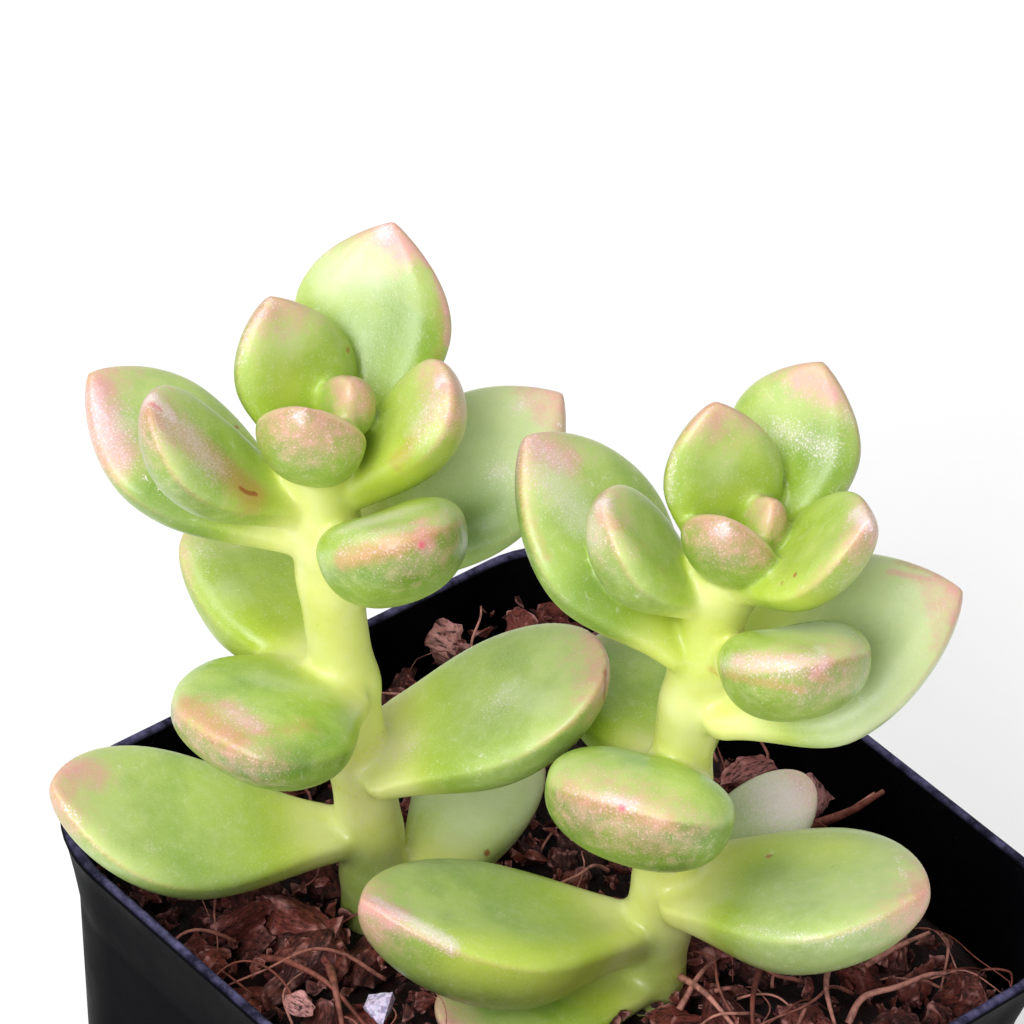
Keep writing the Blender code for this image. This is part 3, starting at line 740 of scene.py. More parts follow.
def leaf_masks(leaf, facts):
    """What the skin's shader reads of a leaf: pale root, margins and tip in millimetres, and its looks."""
    s = facts["s"]
    tip = facts["tip"]
    return {
        "along": s,
        "pale": 1 - eased(0.05, 0.45, s),
        "rim": facts["rim"] / MM,
        "upper": facts["upper"],
        "tip": tip / MM,
        "milk": leaf.milk * eased(0.15, 0.5, s),
        "tone": np.full_like(s, leaf.tone),
        "rims": leaf.rims * eased(0.4, 0.9, s),
        "rose": np.exp(-((tip / ROSE_REACH) ** 2)) * leaf.tip,
        "amber": 0.6 * np.exp(-((tip / AMBER_REACH) ** 2)) * leaf.tip,
    }


def source_skin(shoot):
    """The leaves and stem of a shoot as overlapping closed forms, with their masks."""
    points, faces = [], []
    masks = {key: [] for key in MASKS}
    for leaf in shoot.leaves:
        skin, facts = leaf_skin(leaf, shoot)
        faces += ring_faces(LEAF_RINGS + 1, LEAF_AROUND, sum(len(part) for part in points))
        points.append(skin.reshape(-1, 3))
        painted = leaf_masks(leaf, facts)
        for key in MASKS:
            masks[key].append(painted[key].ravel() if key in painted else np.zeros(skin.size // 3))
    stem = stem_skin(shoot)
    faces += ring_faces(STEM_RINGS, STEM_AROUND, sum(len(part) for part in points))
    points.append(stem.reshape(-1, 3))
    for key in MASKS:
        masks[key].append(np.full(stem.size // 3, float(STEM_MASKS.get(key, 0))))
    return np.concatenate(points), faces, np.stack([np.concatenate(masks[key]) for key in MASKS], -1)


def snap(skin, tree):
    """Moves the points of a remeshed skin onto the forms that it was made from."""
    for i, place in enumerate(skin):
        hit, _, _, distance = tree.find_nearest(place)
        if distance < VOXEL:
            skin[i] = hit


def smooth_creases(mesh, shoot, skin, edges):
    """Rounds out the creases round the stem, and less so among the young leaves at the top."""
    weight = crease_weight(mesh, skin, edges)
    axis = stem_axis(shoot, skin[:, 2])
    from_stem = np.linalg.norm(skin[:, :2] - axis[:, :2], axis=1)
    weight *= 1 - eased(*STEM_ZONE, from_stem)
    weight *= 1 - 0.8 * eased(*ROSETTE_LEVELS, skin[:, 2])
    for _ in range(CREASE_PASSES):
        skin += (CREASE_PULL * weight)[:, None] * (neighbours_mean(skin, edges) - skin)


def carried_masks(skin, edges, tree, points, faces, masks):
    """The masks of the nearest forms at each point of the skin, blurred but for the sharp ones."""
    painted = np.empty((len(skin), len(MASKS)))
    for i, place in enumerate(skin):
        hit, _, face, _ = tree.find_nearest(place)
        corners = np.array(faces[face])
        near = 1 / (np.linalg.norm(points[corners] - np.array(hit), axis=1) + 1e-7)
        painted[i] = near @ masks[corners] / near.sum()
    blurred = painted.copy()
    for _ in range(MASK_PASSES):
        blurred = (blurred + neighbours_mean(blurred, edges)) / 2
    sharp = [MASKS.index(key) for key in SHARP_MASKS]
    blurred[:, sharp] = painted[:, sharp]
    return blurred


def grow_shoot(name, node, shoot, material):
    """One shoot: stem and leaves made one skin, filleted where they join, with its masks painted on."""
    points, faces, masks = source_skin(shoot)
    obj = mesh_object(name, points, faces, material)
    with_modifier(obj, "REMESH", mode="VOXEL", voxel_size=VOXEL, adaptivity=0)
    mesh = obj.data
    skin, edges = mesh_arrays(mesh)
    tree = BVHTree.FromPolygons(points.tolist(), faces)
    snap(skin, tree)
    mesh.vertices.foreach_set("co", skin.ravel())
    mesh.update()
    smooth_creases(mesh, shoot, skin, edges)
    mesh.vertices.foreach_set("co", skin.ravel())
    paint(mesh, dict(zip(MASKS, carried_masks(skin, edges, tree, points, faces, masks).T)))
    mesh.update()
    mesh.shade_smooth()
    mesh.materials.clear()
    mesh.materials.append(material)
    hand_in(obj, "sedum_skin", node)
    return obj


def view_axes():
    """The camera's right, up and back, as unit vectors."""
    level = math.cos(VIEW_RISE)
    back = Vector((math.sin(VIEW_TURN) * level, -math.cos(VIEW_TURN) * level, math.sin(VIEW_RISE)))
    right = Vector((math.cos(VIEW_TURN), math.sin(VIEW_TURN), 0))
    up = right.cross(-back)
    rolled_right = right * math.cos(VIEW_ROLL) + up * math.sin(VIEW_ROLL)
    rolled_up = up * math.cos(VIEW_ROLL) - right * math.sin(VIEW_ROLL)
    return rolled_right, rolled_up, back


def through_pixel(x, y):
    """Where the photo was taken from, and the way from there through one of its pixels."""
    right, up, back = view_axes()
    focal = LENS / SENSOR * PHOTO_SIZE
    way = right * (x - PHOTO_SIZE / 2) - up * (y - PHOTO_SIZE / 2) - back * focal
    return VIEW_TARGET + back * VIEW_DISTANCE, way.normalized()


def skin_tree(obj):
    faces = [tuple(face.vertices) for face in obj.data.polygons]
    return BVHTree.FromPolygons([vert.co for vert in obj.data.vertices], faces)


def mark_casts(pixels, reach):
    """The pixels that a mark is cast through, close together along its line."""
    for start, end in zip(pixels, pixels[1:] or pixels):
        length = math.dist(start, end) / PIXELS_PER_MM * MM
        steps = math.ceil(length / (MARK_STEP * reach * MM))
        for step in range(steps + 1):
            t = step / max(steps, 1)
            yield start[0] + (end[0] - start[0]) * t, start[1] + (end[1] - start[1]) * t


def put_marks(shoots, trees):
    """Paints the marks onto the skins, where the rays through their pixels meet the first leaf."""
    skins = [mesh_arrays(shoot.data)[0] for shoot in shoots]
    painted = {}
    marks = [(kind, *mark) for kind, group in MARKS.items() for mark in group]
    for kind, strength, reach, *pixels in marks:
        for x, y in mark_casts(pixels, reach):
            eye, way = through_pixel(x, y)
            hits = [tree.ray_cast(eye, way) for tree in trees]
            distances = [hit[3] if hit[0] is not None else math.inf for hit in hits]
            which = int(np.argmin(distances))
            if math.isinf(distances[which]):
                continue
            away = np.linalg.norm(skins[which] - np.array(hits[which][0]), axis=1) / (reach * MM)
            layer = painted.setdefault((which, kind), np.zeros(len(skins[which])))
            np.maximum(layer, strength * np.exp(-(away**2)), out=layer)
    for (which, kind), values in painted.items():
        layer = shoots[which].data.attributes[kind].data
        before = read(layer, "value", 1, np.float32)
        layer.foreach_set("value", np.maximum(before, values).astype(np.float32))


def sedum_skin():
    """Waxy yellow-green skin: pale at the root, then lime and blushed in specks at the tip, with painted
    shade on the undersides, painted sheen on the upper faces and painted highlights in marks.
    """
    skin = Shader(
        "sedum_skin",
        Subsurface_Weight=0.3,
        Subsurface_Radius=(1.0, 0.85, 0.2),
        Subsurface_Scale=1.4 * MM,
        Specular_IOR_Level=0.6,
    )
    clouds = skin.noise(3.5 * MM, 2, 0.5)
    mottle = skin.noise(0.9 * MM, 1, 0.5)
    grain = skin.noise(0.15 * MM, 2, 0.6)
    rim, upper, rims = skin.attribute("rim"), skin.attribute("upper"), skin.attribute("rims")
    along = skin.shaken(skin.attribute("along"), clouds, 0.3)

    # Painted shade and light: the undersides get a darker green than the upper faces.
    below = skin.mix(skin.ramp(clouds, 0.35, 0.65), colour(92, 132, 22), colour(116, 154, 30))
    above = skin.mix(skin.ramp(clouds, 0.35, 0.65), colour(130, 172, 42), colour(160, 194, 62))
    green = skin.mix(upper, below, above)
    green = skin.mix(skin.times(skin.attribute("tone"), 0.8), green, colour(186, 202, 66))
    lime = skin.times(skin.ramp(along, 0.62, 0.2, 0, 0.6), skin.ramp(upper, 0, 1, 0.6, 1))
    green = skin.mix(lime, green, colour(182, 204, 48))
    green = skin.mix(skin.ramp(mottle, 0.45, 0.8, 0, 0.18), green, colour(188, 206, 118))
    green = skin.mix(skin.ramp(grain, 0.52, 0.7, 0, 0.16), green, colour(208, 222, 140))
    # Whitish waxy bloom, partly a painted sheen.
    milk = skin.shaken(skin.attribute("milk"), mottle, 0.25)
    green = skin.mix(skin.ramp(milk, 0.0, 1.0, 0.0, 0.75), green, colour(212, 224, 178))
    # Painted sheen: the upper faces painted lighter towards the tip.
    upper_sheen = skin.times(skin.ramp(along, 0.55, 1.0, 0, 0.5), upper)
    green = skin.mix(upper_sheen, green, colour(214, 224, 160))
    # Painted highlight: a lighter band on the upper face just inside the margin.
    margin_sheen = skin.times(skin.times(upper, rims), skin.ramp(rim, 0.2, 1.8, 0.4, 0))
    green = skin.mix(margin_sheen, green, colour(220, 224, 160))
    root = skin.mix(skin.ramp(clouds, 0.3, 0.7), colour(222, 228, 124), colour(232, 236, 158))
    body = skin.mix(skin.ramp(skin.attribute("pale"), 0.1, 1.0), green, root)
    body = skin.mix(skin.times(skin.attribute("lime"), 0.9), body, colour(200, 216, 84))
    # Painted shade: darker green from the marks.
    body = skin.mix(skin.times(skin.attribute("deep"), 0.8), body, colour(96, 134, 36))

    warm = skin.shaken(skin.shaken(skin.attribute("amber"), mottle, 0.5), grain, 0.5)
    body = skin.mix(skin.ramp(warm, 0.1, 1.0, 0, 0.7), body, colour(196, 140, 84))
    pink = skin.shaken(skin.shaken(skin.attribute("rose"), mottle, 0.5), grain, 0.6)
    body = skin.mix(skin.ramp(pink, 0.1, 1.1, 0, 0.8), body, colour(230, 156, 166))
    line = skin.times(rims, skin.ramp(rim, 0.08, 0.34, 1, 0))
    body = skin.mix(skin.times(line, 0.6), body, colour(204, 150, 112))

    # Waxy bloom and painted highlight: whitish-pink patches from the marks.
    haze = skin.shaken(skin.attribute("bloom"), grain, 1.2)
    body = skin.mix(skin.ramp(haze, 0.1, 1.1, 0, 0.7), body, colour(246, 226, 236))
    # Fine white specks over the blushes and bloom: dust and painted glints.
    dust_and_glints = skin.ramp(skin.attribute("rose"), 0, 0.6, 0.1, 0.22)
    dust_and_glints = skin.math("ADD", dust_and_glints, skin.ramp(skin.attribute("bloom"), 0, 0.6, 0, 0.3))
    body = skin.mix(skin.times(skin.ramp(grain, 0.58, 0.68), dust_and_glints), body, colour(250, 242, 244))
    # White scratches and painted glints, broken into flecks.
    flecks = skin.ramp(grain, 0.5, 0.62)
    chalk = skin.ramp(skin.shaken(skin.attribute("chalk"), mottle, 1.0), 0.3, 0.6, 0, 0.75)
    chalk = skin.times(chalk, flecks)
    body = skin.mix(chalk, body, colour(248, 242, 240))
    ruby = skin.ramp(skin.attribute("ruby"), 0.2, 0.8, 0, 0.8)
    body = skin.mix(ruby, body, colour(216, 84, 104))
    scar = skin.ramp(skin.attribute("scar"), 0.25, 0.7, 0, 0.85)
    body = skin.mix(scar, body, colour(160, 84, 48))

    contour = skin.math("ABSOLUTE", skin.math("SUBTRACT", clouds, 0.56))
    scratch = skin.times(skin.ramp(contour, 0.0, 0.004, 1, 0), skin.ramp(mottle, 0.52, 0.58))
    body = skin.mix(skin.times(scratch, 0.35), body, colour(236, 238, 214))
    rough = skin.ramp(clouds, 0.3, 0.7, 0.27, 0.38)
    bump = skin.bump(grain, 0.02 * MM, 0.7, skin.bump(mottle, 0.04 * MM, 0.5))
    return skin.set(Base_Color=body, Roughness=rough, Normal=bump)


def pot_half_width(z):
    levels, half_widths = zip(*POT_PROFILE)
    return float(np.interp(z, levels, half_widths))


def round_square(half, corner):
    """Points round a square with round corners, anticlockwise."""
    points = []
    quarter_turn = math.radians(90)
    middles = [Vector((1, 1)), Vector((-1, 1)), Vector((-1, -1)), Vector((1, -1))]
    for quarter, middle in enumerate(middles):
        for step in range(POT_CORNER_STEPS + 1):
            turn = quarter_turn * (quarter + step / POT_CORNER_STEPS)
            points.append(middle * (half - corner) + Vector((math.cos(turn), math.sin(turn))) * corner)
        turn = quarter_turn * (quarter + 1)
        start = points[-1]
        end = middles[(quarter + 1) % 4] * (half - corner)
        end = end + Vector((math.cos(turn), math.sin(turn))) * corner
        points += [start.lerp(end, step / POT_SIDE_STEPS) for step in range(1, POT_SIDE_STEPS)]
    return np.array(points)


def tub_rings(profile):
    """Rings of a square tub from (half width, height) pairs; the corner radius keeps its share."""
    rings = []
    for half, z in profile:
        flat = round_square(half, POT_CORNER * half)
        rings.append(np.column_stack([flat, np.full(len(flat), z)]))
    return np.array(rings)


def pot_profile():
    """The wall's section as (half width, height): under the floor, up, over the lip and down inside."""
    foot = pot_half_width(0)
    profile = [(FLOOR_MIDDLE, 0), (foot - 0.7 * MM, 0), (foot - 0.2 * MM, 0.06 * MM)]
    profile += [(pot_half_width(z * MM), z * MM) for z in OUTER_LEVELS]
    lip = POT_WALL / 2
    edge = pot_half_width(POT_HEIGHT)
    for step in range(LIP_STEPS + 1):
        turn = math.pi * step / LIP_STEPS
        profile.append((edge - lip + lip * math.cos(turn), POT_HEIGHT - lip + lip * math.sin(turn)))
    profile += [(pot_half_width(z * MM) - POT_WALL, z * MM) for z in INNER_LEVELS]
    profile += [(foot - POT_WALL - 0.7 * MM, POT_WALL), (FLOOR_MIDDLE, POT_WALL)]
    return profile


def drill_holes(obj):
    """Cuts the round drain holes through the pot's floor."""
    drills = bpy.data.collections.new("drills")
    bpy.context.scene.collection.children.link(drills)
    size = {"radius1": DRAIN_RADIUS, "radius2": DRAIN_RADIUS, "depth": 6 * POT_WALL}
    for x in (-DRAIN_SPREAD, DRAIN_SPREAD):
        for y in (-DRAIN_SPREAD, DRAIN_SPREAD):
            bm = bmesh.new()
            bmesh.ops.create_cone(bm, cap_ends=True, segments=DRAIN_SIDES, **size)
            bmesh.ops.translate(bm, verts=bm.verts, vec=(x, y, 0))
            mesh = bpy.data.meshes.new("drill")
            bm.to_mesh(mesh)
            bm.free()
            drills.objects.link(bpy.data.objects.new("drill", mesh))
    cut = {"operation": "DIFFERENCE", "operand_type": "COLLECTION", "solver": "EXACT"}
    with_modifier(obj, "BOOLEAN", collection=drills, **cut)
    for drill in list(drills.objects):
        bpy.data.objects.remove(drill)
    bpy.data.collections.remove(drills)


def pot_piece(material):
    """The pot: one thin moulded wall with a round lip, a soft foot and drain holes."""
    profile = pot_profile()
    rings = tub_rings(profile)
    around = rings.shape[1]
    lip = POT_WALL / 2
    # rim is 1 on the top of the lip, where the bluish painted highlight goes.
    rim = np.repeat([max(0.0, 1 - (POT_HEIGHT - z) / (0.6 * lip)) for _, z in profile], around)
    faces = ring_faces(len(rings), around)
    obj = mesh_object("pot_body", rings.reshape(-1, 3), faces, material, {"rim": rim})
    bm = bmesh.new()
    bm.from_mesh(obj.data)
    bmesh.ops.recalc_face_normals(bm, faces=bm.faces)
    bm.to_mesh(obj.data)
    bm.free()
    drill_holes(obj)
    obj.data.set_sharp_from_angle(angle=POT_SHARP)
    hand_in(obj, "pot_plastic", "pot")
    return obj


def pot_plastic():
    """Black moulded plastic: a faint orange peel, fine dust, and a pale bluish painted highlight along the
    lip.
    """
    plastic = Shader("pot_plastic", Specular_IOR_Level=0.012, Specular_Tint=(0.8, 0.78, 1.0, 1.0))
    peel = plastic.noise(0.5 * MM, 3)
    haze = plastic.noise(9 * MM, 4, 0.6)
    body = plastic.mix(plastic.ramp(haze, 0.4, 0.7), colour(4, 4, 6), colour(9, 9, 12))
    dust = plastic.ramp(plastic.noise(0.3 * MM, 2), 0.74, 0.78, 0, 0.35)
    body = plastic.mix(dust, body, colour(70, 66, 72))
    # Painted highlight: a pale bluish reflection painted along the top of the lip, broken up in patches.
    lip_highlight_breakup = plastic.ramp(plastic.noise(2.5 * MM, 4, 0.7), 0.35, 0.7, 0.1, 0.9)
    wear_and_highlight = plastic.times(plastic.attribute("rim"), lip_highlight_breakup)
    body = plastic.mix(wear_and_highlight, body, colour(104, 100, 140))
    bump = plastic.bump(peel, 0.02 * MM, 0.5)
    return plastic.set(Base_Color=body, Roughness=plastic.ramp(haze, 0.3, 0.7, 0.38, 0.55), Normal=bump)


def mound(x, y):
    """How far the mix is heaped up at a place in the pot."""
    return MOUND_RISE * math.exp(-((x - MOUND_AT[0]) ** 2 + (y - MOUND_AT[1]) ** 2) / MOUND_REACH**2)


def bed_piece(material):
    """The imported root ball: follows the inside of the pot, with a rough crumbled top."""
    inset = POT_WALL + BED_INSET
    levels = np.linspace(POT_WALL + BED_LIFT, BED_TOP, BED_SIDE_RINGS)
    rings = list(tub_rings([(pot_half_width(z) - inset, z) for z in levels]))
    edge = rings[-1]
    middle = np.array((0, 0, BED_TOP))
    for step in range(1, BED_TOP_RINGS):
        ring = middle + (edge - middle) * (1 - step / BED_TOP_RINGS)
        for point in ring:
            relief = noise.fractal(Vector(point) / BED_GRAIN, 0.8, 2.2, 4)
            point[2] += mound(point[0], point[1]) + BED_RELIEF * relief
        rings.append(ring)
    points = np.array(rings).reshape(-1, 3)
    bare = np.zeros(len(points))
    # The bed gets the full painted shade of the gaps, so it shows near-black under the chips.
    facts = {"tone": bare, "wear_and_highlight": bare, "grain": points, "sunk": bare + 1}
    obj = mesh_object("mix_bed", points, ring_faces(len(rings), len(edge)), material, facts)
    hand_in(obj, "bark_mix", "soil")
    return obj


def inside_pot(point, margin):
    """Draws a point in until it is clear of the pot's wall."""
    half = pot_half_width(point[2]) - POT_WALL - margin
    corner = POT_CORNER * half
    x = max(abs(point[0]) - (half - corner), 0)
    y = max(abs(point[1]) - (half - corner), 0)
    beyond = math.hypot(x, y) - corner
    if beyond <= 0:
        return point
    shrink = corner / math.hypot(x, y)
    if x > 0:
        point[0] = math.copysign(half - corner + x * shrink, point[0])
    if y > 0:
        point[1] = math.copysign(half - corner + y * shrink, point[1])
    return point


class Shard(NamedTuple):
    """A broken bit of bark of unit length: its points and faces, and how much each point is lightened as
    wear and painted highlight.
    """

    points: np.ndarray
    faces: list
    wear_and_highlight: np.ndarray


def shard_relief(places, seed, octaves):
    return np.array([noise.fractal(Vector(place) + seed, 0.7, 2.1, octaves) for place in places])


def shard(draw, corners, cuts, roughness):
    """A hull of random corners, cut finer and roughened along its grain."""
    bm = bmesh.new()
    shape = (1, draw.uniform(*SHARD_WIDTHS), draw.uniform(*SHARD_DEPTHS))
    for _ in range(corners):
        way = Vector((draw.gauss(0, 1), draw.gauss(0, 1), draw.gauss(0, 1))).normalized()
        bm.verts.new([share * co / 2 for share, co in zip(shape, way)])
    bmesh.ops.convex_hull(bm, input=bm.verts)
    bmesh.ops.subdivide_edges(bm, edges=bm.edges, cuts=cuts, use_grid_fill=True)
    bmesh.ops.triangulate(bm, faces=bm.faces)
    bm.verts.ensure_lookup_table()
    bm.normal_update()
    points = np.array([vert.co for vert in bm.verts])
    normals = np.array([vert.normal for vert in bm.verts])
    edges = np.array([[vert.index for vert in edge.verts] for edge in bm.edges])
    faces = [tuple(vert.index for vert in face.verts) for face in bm.faces]
    bm.free()
    seed = Vector([draw.uniform(-50, 50) for _ in range(3)])
    coarse = shard_relief(points * COARSE_RELIEF, seed, 3)
    fine = shard_relief(points * FINE_RELIEF, seed, 2)
    points = points + normals * (roughness * (coarse + FINE_SHARE * fine))[:, None]
    convex = np.einsum("ij,ij->i", points - neighbours_mean(points, edges), normals)
    wear_and_highlight = np.clip(convex / (np.std(convex) + 1e-9) * WEAR_AND_HIGHLIGHT, 0, 1)
    return Shard(points, faces, wear_and_highlight)


def clear_of(trees, points, margin):
    """How deep the deepest of the points lies in a shoot, or 0."""
    deepest = 0.0
    for tree in trees:
        for point in points:
            hit, normal, _, distance = tree.find_nearest(point, SEARCH_REACH)
            if hit is not None and (Vector(point) - hit).dot(normal) < 0:
                deepest = max(deepest, distance + margin)
    return deepest


def turned(spin, tilt, lean):
    """Tilts a shard about its own axes and turns it about the upright."""
    turn = Matrix.Rotation(spin, 3, "Z") @ Matrix.Rotation(tilt, 3, "X")
    return np.array(turn @ Matrix.Rotation(lean, 3, "Y"))


def strewn_seats(draw, count, sizes, tilt, lift):
    """Where shards come to lie over the bed: place, size, turn and tone of each."""
    half = pot_half_width(MIX_TOP) - POT_WALL
    columns = math.ceil(math.sqrt(count))
    pitch = 2 * half / columns
    for i in range(count):
        x = -half + pitch * (i % columns + draw.uniform(*SCATTER))
        y = -half + pitch * (i // columns + draw.uniform(*SCATTER))
        place = np.array((x, y, BED_TOP + mound(x, y) + draw.uniform(*lift)))
        turn = turned(draw.uniform(0, math.tau), draw.gauss(0, tilt), draw.gauss(0, tilt))
        yield place, draw.uniform(*sizes), turn, draw.random()


def chosen_seats(chips):
    for place, size, tilt, spin, tone in chips:
        turn = turned(math.radians(spin), math.radians(tilt), 0)
        yield np.array(planted(place)), size * MM, turn, tone


def chips_piece(name, seats, shards, trees, material, seed):
    """Shards set down on their seats, lowered or dropped where a leaf or stem is in the way."""
    draw = random.Random(seed)
    points, faces, facts = [], [], {"tone": [], "wear_and_highlight": [], "grain": [], "sunk": []}
    total = 0
    for place, size, turn, tone in seats:
        kind = draw.choice(shards)
        local = kind.points * size
        shape = local @ turn.T + place
        depth = clear_of(trees, shape[::3], CHIP_MARGIN)
        if depth > DEEPEST_DROP:
            continue
        shape[:, 2] -= depth
        shape = np.array([inside_pot(point, CHIP_MARGIN) for point in shape])
        faces += [tuple(total + k for k in face) for face in kind.faces]
        total += len(shape)
        points.append(shape)
        facts["tone"].append(np.full(len(shape), tone))
        facts["wear_and_highlight"].append(kind.wear_and_highlight)
        above_bed = shape[:, 2] - BED_TOP - mound(place[0], place[1])
        # Painted shade: the lower a point lies over the bed, the darker it is painted.
        facts["sunk"].append(1 - eased(0, SHADED_DEPTH, above_bed))
        facts["grain"].append(local + np.array((tone, tone * 7, tone * 3)))
    facts = {key: np.concatenate(values) for key, values in facts.items()}
    obj = mesh_object(name, np.concatenate(points), faces, material, facts)
    obj.data.set_sharp_from_angle(angle=CHIP_SHARP)
    hand_in(obj, "bark_mix", "soil")
    return obj


def bark():
    """Reddish-brown bark: each chip its own tone and grain, pinkish edges as wear and painted highlight,
    black pores, and painted shade low between the chips.
    """
    wood = Shader("bark_mix", Specular_IOR_Level=0.35)
    tone = wood.attribute("tone")
    along = wood.stretched((0.3, 1.4, 1.4), wood.attribute("grain", "Vector"))
    fibres = wood.noise(0.32 * MM, 3, 0.7, along)
    clouds = wood.noise(1.6 * MM, 3, 0.6)
    body = wood.mix(wood.ramp(tone, 0.0, 1.0), colour(54, 18, 16), colour(114, 50, 42))
    body = wood.mix(wood.ramp(tone, 1.0, 1.6), body, colour(222, 160, 158))
    body = wood.mix(wood.ramp(clouds, 0.42, 0.7, 0, 0.6), body, colour(138, 70, 58))
    body = wood.mix(wood.ramp(fibres, 0.34, 0.54, 0.9, 0), body, colour(14, 5, 5))
    body = wood.mix(wood.ramp(fibres, 0.58, 0.76, 0, 0.45), body, colour(178, 112, 102))
    # Edges that stand out are lightened pinkish: partly wear, partly a painted highlight.
    edge = wood.times(wood.attribute("wear_and_highlight"), wood.ramp(clouds, 0.3, 0.6))
    body = wood.mix(wood.ramp(edge, 0.1, 0.9, 0, 0.7), body, colour(200, 142, 138))
    # Painted shade: near-black mixed in where the mix lies low between the chips.
    body = wood.mix(wood.times(wood.attribute("sunk"), 0.85), body, colour(16, 6, 6))
    bump = wood.bump(fibres, 0.12 * MM, 0.9)
    return wood.set(Base_Color=body, Roughness=wood.ramp(fibres, 0.3, 0.7, 0.85, 0.55), Normal=bump)


def coir():
    """Coir fibre: reddish straw, darker in streaks."""
    fibre = Shader("coir", Specular_IOR_Level=0.35, Roughness=0.6)
    streaks = fibre.noise(0.8 * MM, 3, 0.6)
    body = fibre.mix(fibre.ramp(fibre.attribute("tone"), 0, 1), colour(128, 68, 56), colour(200, 138, 124))
    body = fibre.mix(fibre.ramp(streaks, 0.35, 0.6, 0.6, 0), body, colour(62, 28, 22))
    return fibre.set(Base_Color=body, Normal=fibre.bump(streaks, 0.05 * MM, 0.6))


def fibre_mesh(path, radius, first):
    """A tapering rod along a path: its points and faces."""
    path = np.array(path)
    tangents = np.gradient(path, axis=0)
    tangents /= np.linalg.norm(tangents, axis=1)[:, None]
    side = np.cross(tangents, (0.3, 0.2, 1))
    side /= np.linalg.norm(side, axis=1)[:, None]
    other = np.cross(tangents, side)
    turn = np.linspace(0, math.tau, FIBRE_SIDES, endpoint=False)
    share = np.linspace(0, 1, len(path))
    radii = radius * (1 - FIBRE_TAPER * share)
    rings = side[:, None] * np.cos(turn)[None, :, None] + other[:, None] * np.sin(turn)[None, :, None]
    points = path[:, None] + rings * radii[:, None, None]
    return points.reshape(-1, 3), ring_faces(len(path), FIBRE_SIDES, first)


def fibres_piece(trees, material):
    """Coir fibres: those seen in the photo, and many finer ones strewn over the mix."""
    draw = random.Random(FIBRE_SEED)
    half = pot_half_width(MIX_TOP) - 2 * MM
    runs = [(radius * MM, smooth_path([planted(p) for p in route], 8)) for radius, *route in HERO_FIBRES]
    for _ in range(FIBRE_COUNT):
        x, y = draw.uniform(-half, half), draw.uniform(-half, half)
        start = Vector((x, y, BED_TOP + mound(x, y) + draw.uniform(*FIBRE_LIFT) * MM))
        heading, bend = draw.uniform(0, math.tau), draw.gauss(0, 1.1)
        length, arch = draw.uniform(*FIBRE_LENGTHS) * MM, draw.uniform(*FIBRE_ARCHES) * MM
        wander = draw.uniform(-40, 40)
        path = [start]
        for k in range(FIBRE_STEPS):
            t = (k + 0.5) / FIBRE_STEPS
            turn = heading + bend * t + 0.9 * noise.noise(Vector((wander, t * 3, 0)))
            rise = arch * math.pi * math.cos(math.pi * t) / FIBRE_STEPS
            level = [way * length / FIBRE_STEPS for way in (math.cos(turn), math.sin(turn))]
            path.append(path[-1] + Vector((*level, rise)))
        radius = draw.uniform(*FIBRE_RADII) * MM
        if clear_of(trees, path, FIBRE_MARGIN) > 0:
            continue
        runs.append((radius, path))
    points, faces, tones = [], [], []
    for radius, path in runs:
        path = [inside_pot(list(point), radius + FIBRE_MARGIN) for point in path]
        rod, rod_faces = fibre_mesh(path, radius, sum(len(part) for part in points))
        points.append(rod)
        faces += rod_faces
        tones.append(np.full(len(rod), draw.random()))
    facts = {"tone": np.concatenate(tones)}
    obj = mesh_object("coir_fibres", np.concatenate(points), faces, material, facts)
    hand_in(obj, "bark_mix", "soil")
    return obj


def perlite():
    """Rough mineral foam, pale lilac with darker pits."""
    glow = {"Subsurface_Weight": 0.3, "Subsurface_Scale": 0.5 * MM}
    stone = Shader("perlite", Specular_IOR_Level=0.4, Roughness=0.7, **glow)
    pits = stone.noise(0.3 * MM, 4, 0.6)
    body = stone.mix(stone.ramp(pits, 0.35, 0.6), colour(160, 146, 180), colour(226, 214, 240))
    return stone.set(Base_Color=body, Normal=stone.bump(pits, 0.06 * MM, 0.8))


def perlite_piece(material):
    """A rough pale chip of perlite, angular and pitted."""
    kind = shard(random.Random(PERLITE_SEED), corners=11, cuts=5, roughness=0.02)
    low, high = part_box("perlite_chip")
    size = np.array(high) - np.array(low)
    extent = kind.points.max(axis=0) - kind.points.min(axis=0)
    centred = kind.points - (kind.points.max(axis=0) + kind.points.min(axis=0)) / 2
    points = centred / extent * size + (np.array(low) + np.array(high)) / 2
    obj = mesh_object("perlite_pebble", points, kind.faces, material)
    obj.data.set_sharp_from_angle(angle=PERLITE_SHARP)
    hand_in(obj, "perlite", "perlite_chip")
    return obj


def camera():
    right, up, back = view_axes()
    data = bpy.data.cameras.new("camera")
    data.lens = LENS
    data.sensor_width = SENSOR
    data.clip_start = 10 * MM
    data.clip_end = 20
    obj = add_object("camera", data)
    facing = Matrix((right, up, back)).transposed().to_4x4()
    obj.matrix_world = Matrix.Translation(VIEW_TARGET + back * VIEW_DISTANCE) @ facing
    bpy.context.scene.camera = obj


def soft_light(name, place, aim, size, power):
    data = bpy.data.lights.new(name, "AREA")
    data.shape = "DISK"
    data.size = size
    data.energy = power
    obj = add_object(name, data)
    obj.location = place
    obj.rotation_mode = "QUATERNION"
    obj.rotation_quaternion = (Vector(aim) - Vector(place)).to_track_quat("-Z", "Y")


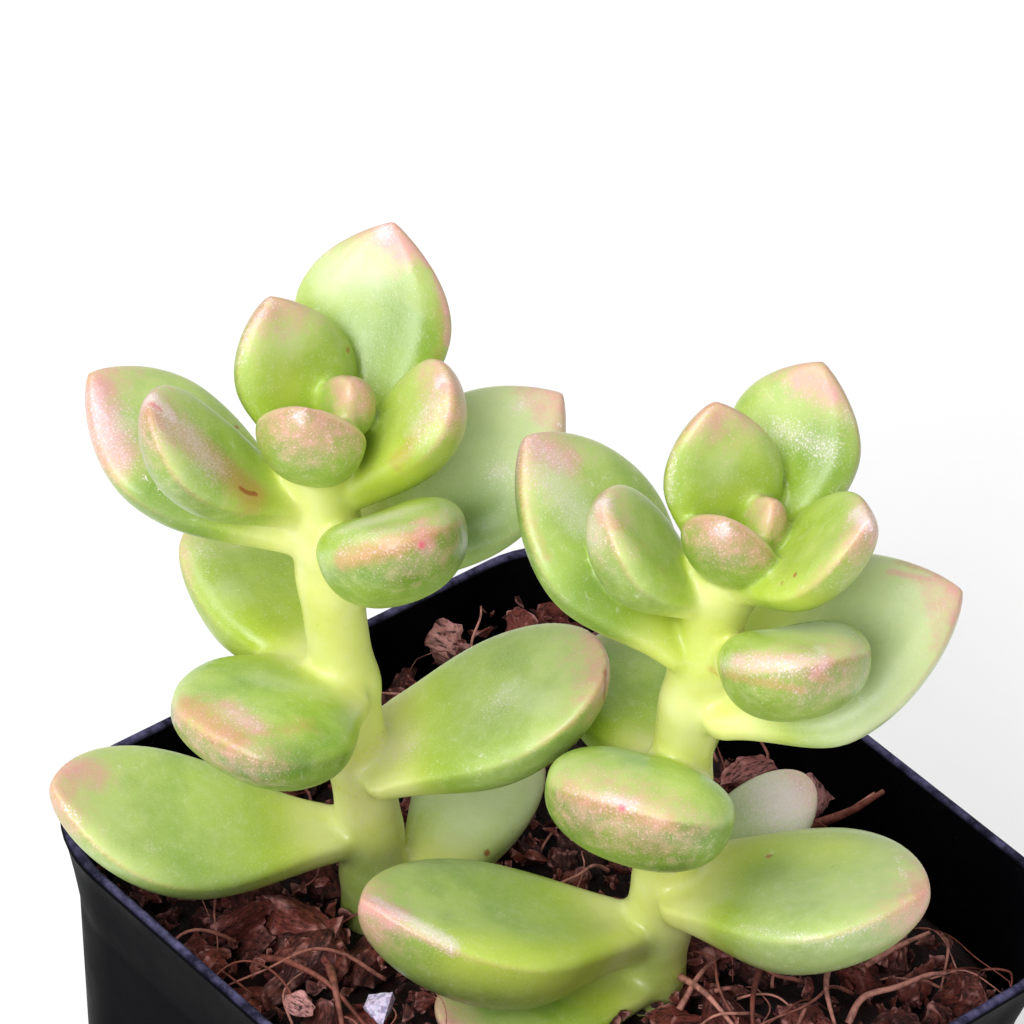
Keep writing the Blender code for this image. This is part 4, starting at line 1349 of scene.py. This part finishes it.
def studio():
    """Plain pale floor, soft white light from all round, and two soft lights at the camera's left."""
    world = bpy.data.worlds.new("studio")
    world.use_nodes = True
    background = world.node_tree.nodes["Background"]
    background.inputs["Color"].default_value = (1, 1, 1, 1)
    background.inputs["Strength"].default_value = WORLD_STRENGTH
    bpy.context.scene.world = world
    bpy.context.scene.view_settings.view_transform = "Standard"
    right = Vector((math.cos(VIEW_TURN), math.sin(VIEW_TURN), 0))
    away = Vector((-math.sin(VIEW_TURN), math.cos(VIEW_TURN), 0))
    for name, turn, rise, size, power in SOFT_LIGHTS:
        turn, rise = math.radians(turn), math.radians(rise)
        level = right * math.sin(turn) + away * math.cos(turn)
        way = level * math.cos(rise) + Vector((0, 0, math.sin(rise)))
        soft_light(name, LIGHT_AIM + way * LIGHT_DISTANCE, LIGHT_AIM, size, power)
    paper = Shader("floor", Roughness=0.9)
    fine = paper.noise(2 * MM, 2)
    low, high = [(tone, tone, tone, 1) for tone in FLOOR_TONES]
    material = paper.set(Base_Color=paper.mix(fine, low, high))
    side = FLOOR_HALF
    corners = [(-side, -side, 0), (side, -side, 0), (side, side, 0), (-side, side, 0)]
    floor = mesh_object("floor", corners, [(0, 1, 2, 3)], material)
    floor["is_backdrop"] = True


def write_sizes():
    boxes = {"frame": FRAME_BOX, "visual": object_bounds()}
    {key: [list(corner) for corner in box] for key, box in boxes.items()}


def main():
    camera()
    studio()
    skin = sedum_skin()
    shoots = [
        grow_shoot("shoot_left", "leafy_stem_left", LEFT_SHOOT, skin),
        grow_shoot("shoot_right", "leafy_stem_right", RIGHT_SHOOT, skin),
    ]
    trees = [skin_tree(shoot) for shoot in shoots]
    put_marks(shoots, trees)
    pot_piece(pot_plastic())
    wood = bark()
    bed_piece(wood)
    draw = random.Random(MIX_SEED)
    chips = [shard(draw, corners=14, cuts=5, roughness=0.065) for _ in range(16)]
    crumbs = [shard(draw, corners=9, cuts=2, roughness=0.08) for _ in range(12)]
    chip_seats = [*chosen_seats(HERO_CHIPS), *strewn_seats(draw, **CHIPS)]
    chips_piece("bark_chips", chip_seats, chips, trees, wood, CHIP_SEED)
    chips_piece("bark_crumbs", strewn_seats(draw, **CRUMBS), crumbs, trees, wood, CRUMB_SEED)
    fibres_piece(trees, coir())
    perlite_piece(perlite())
    write_sizes()


main()
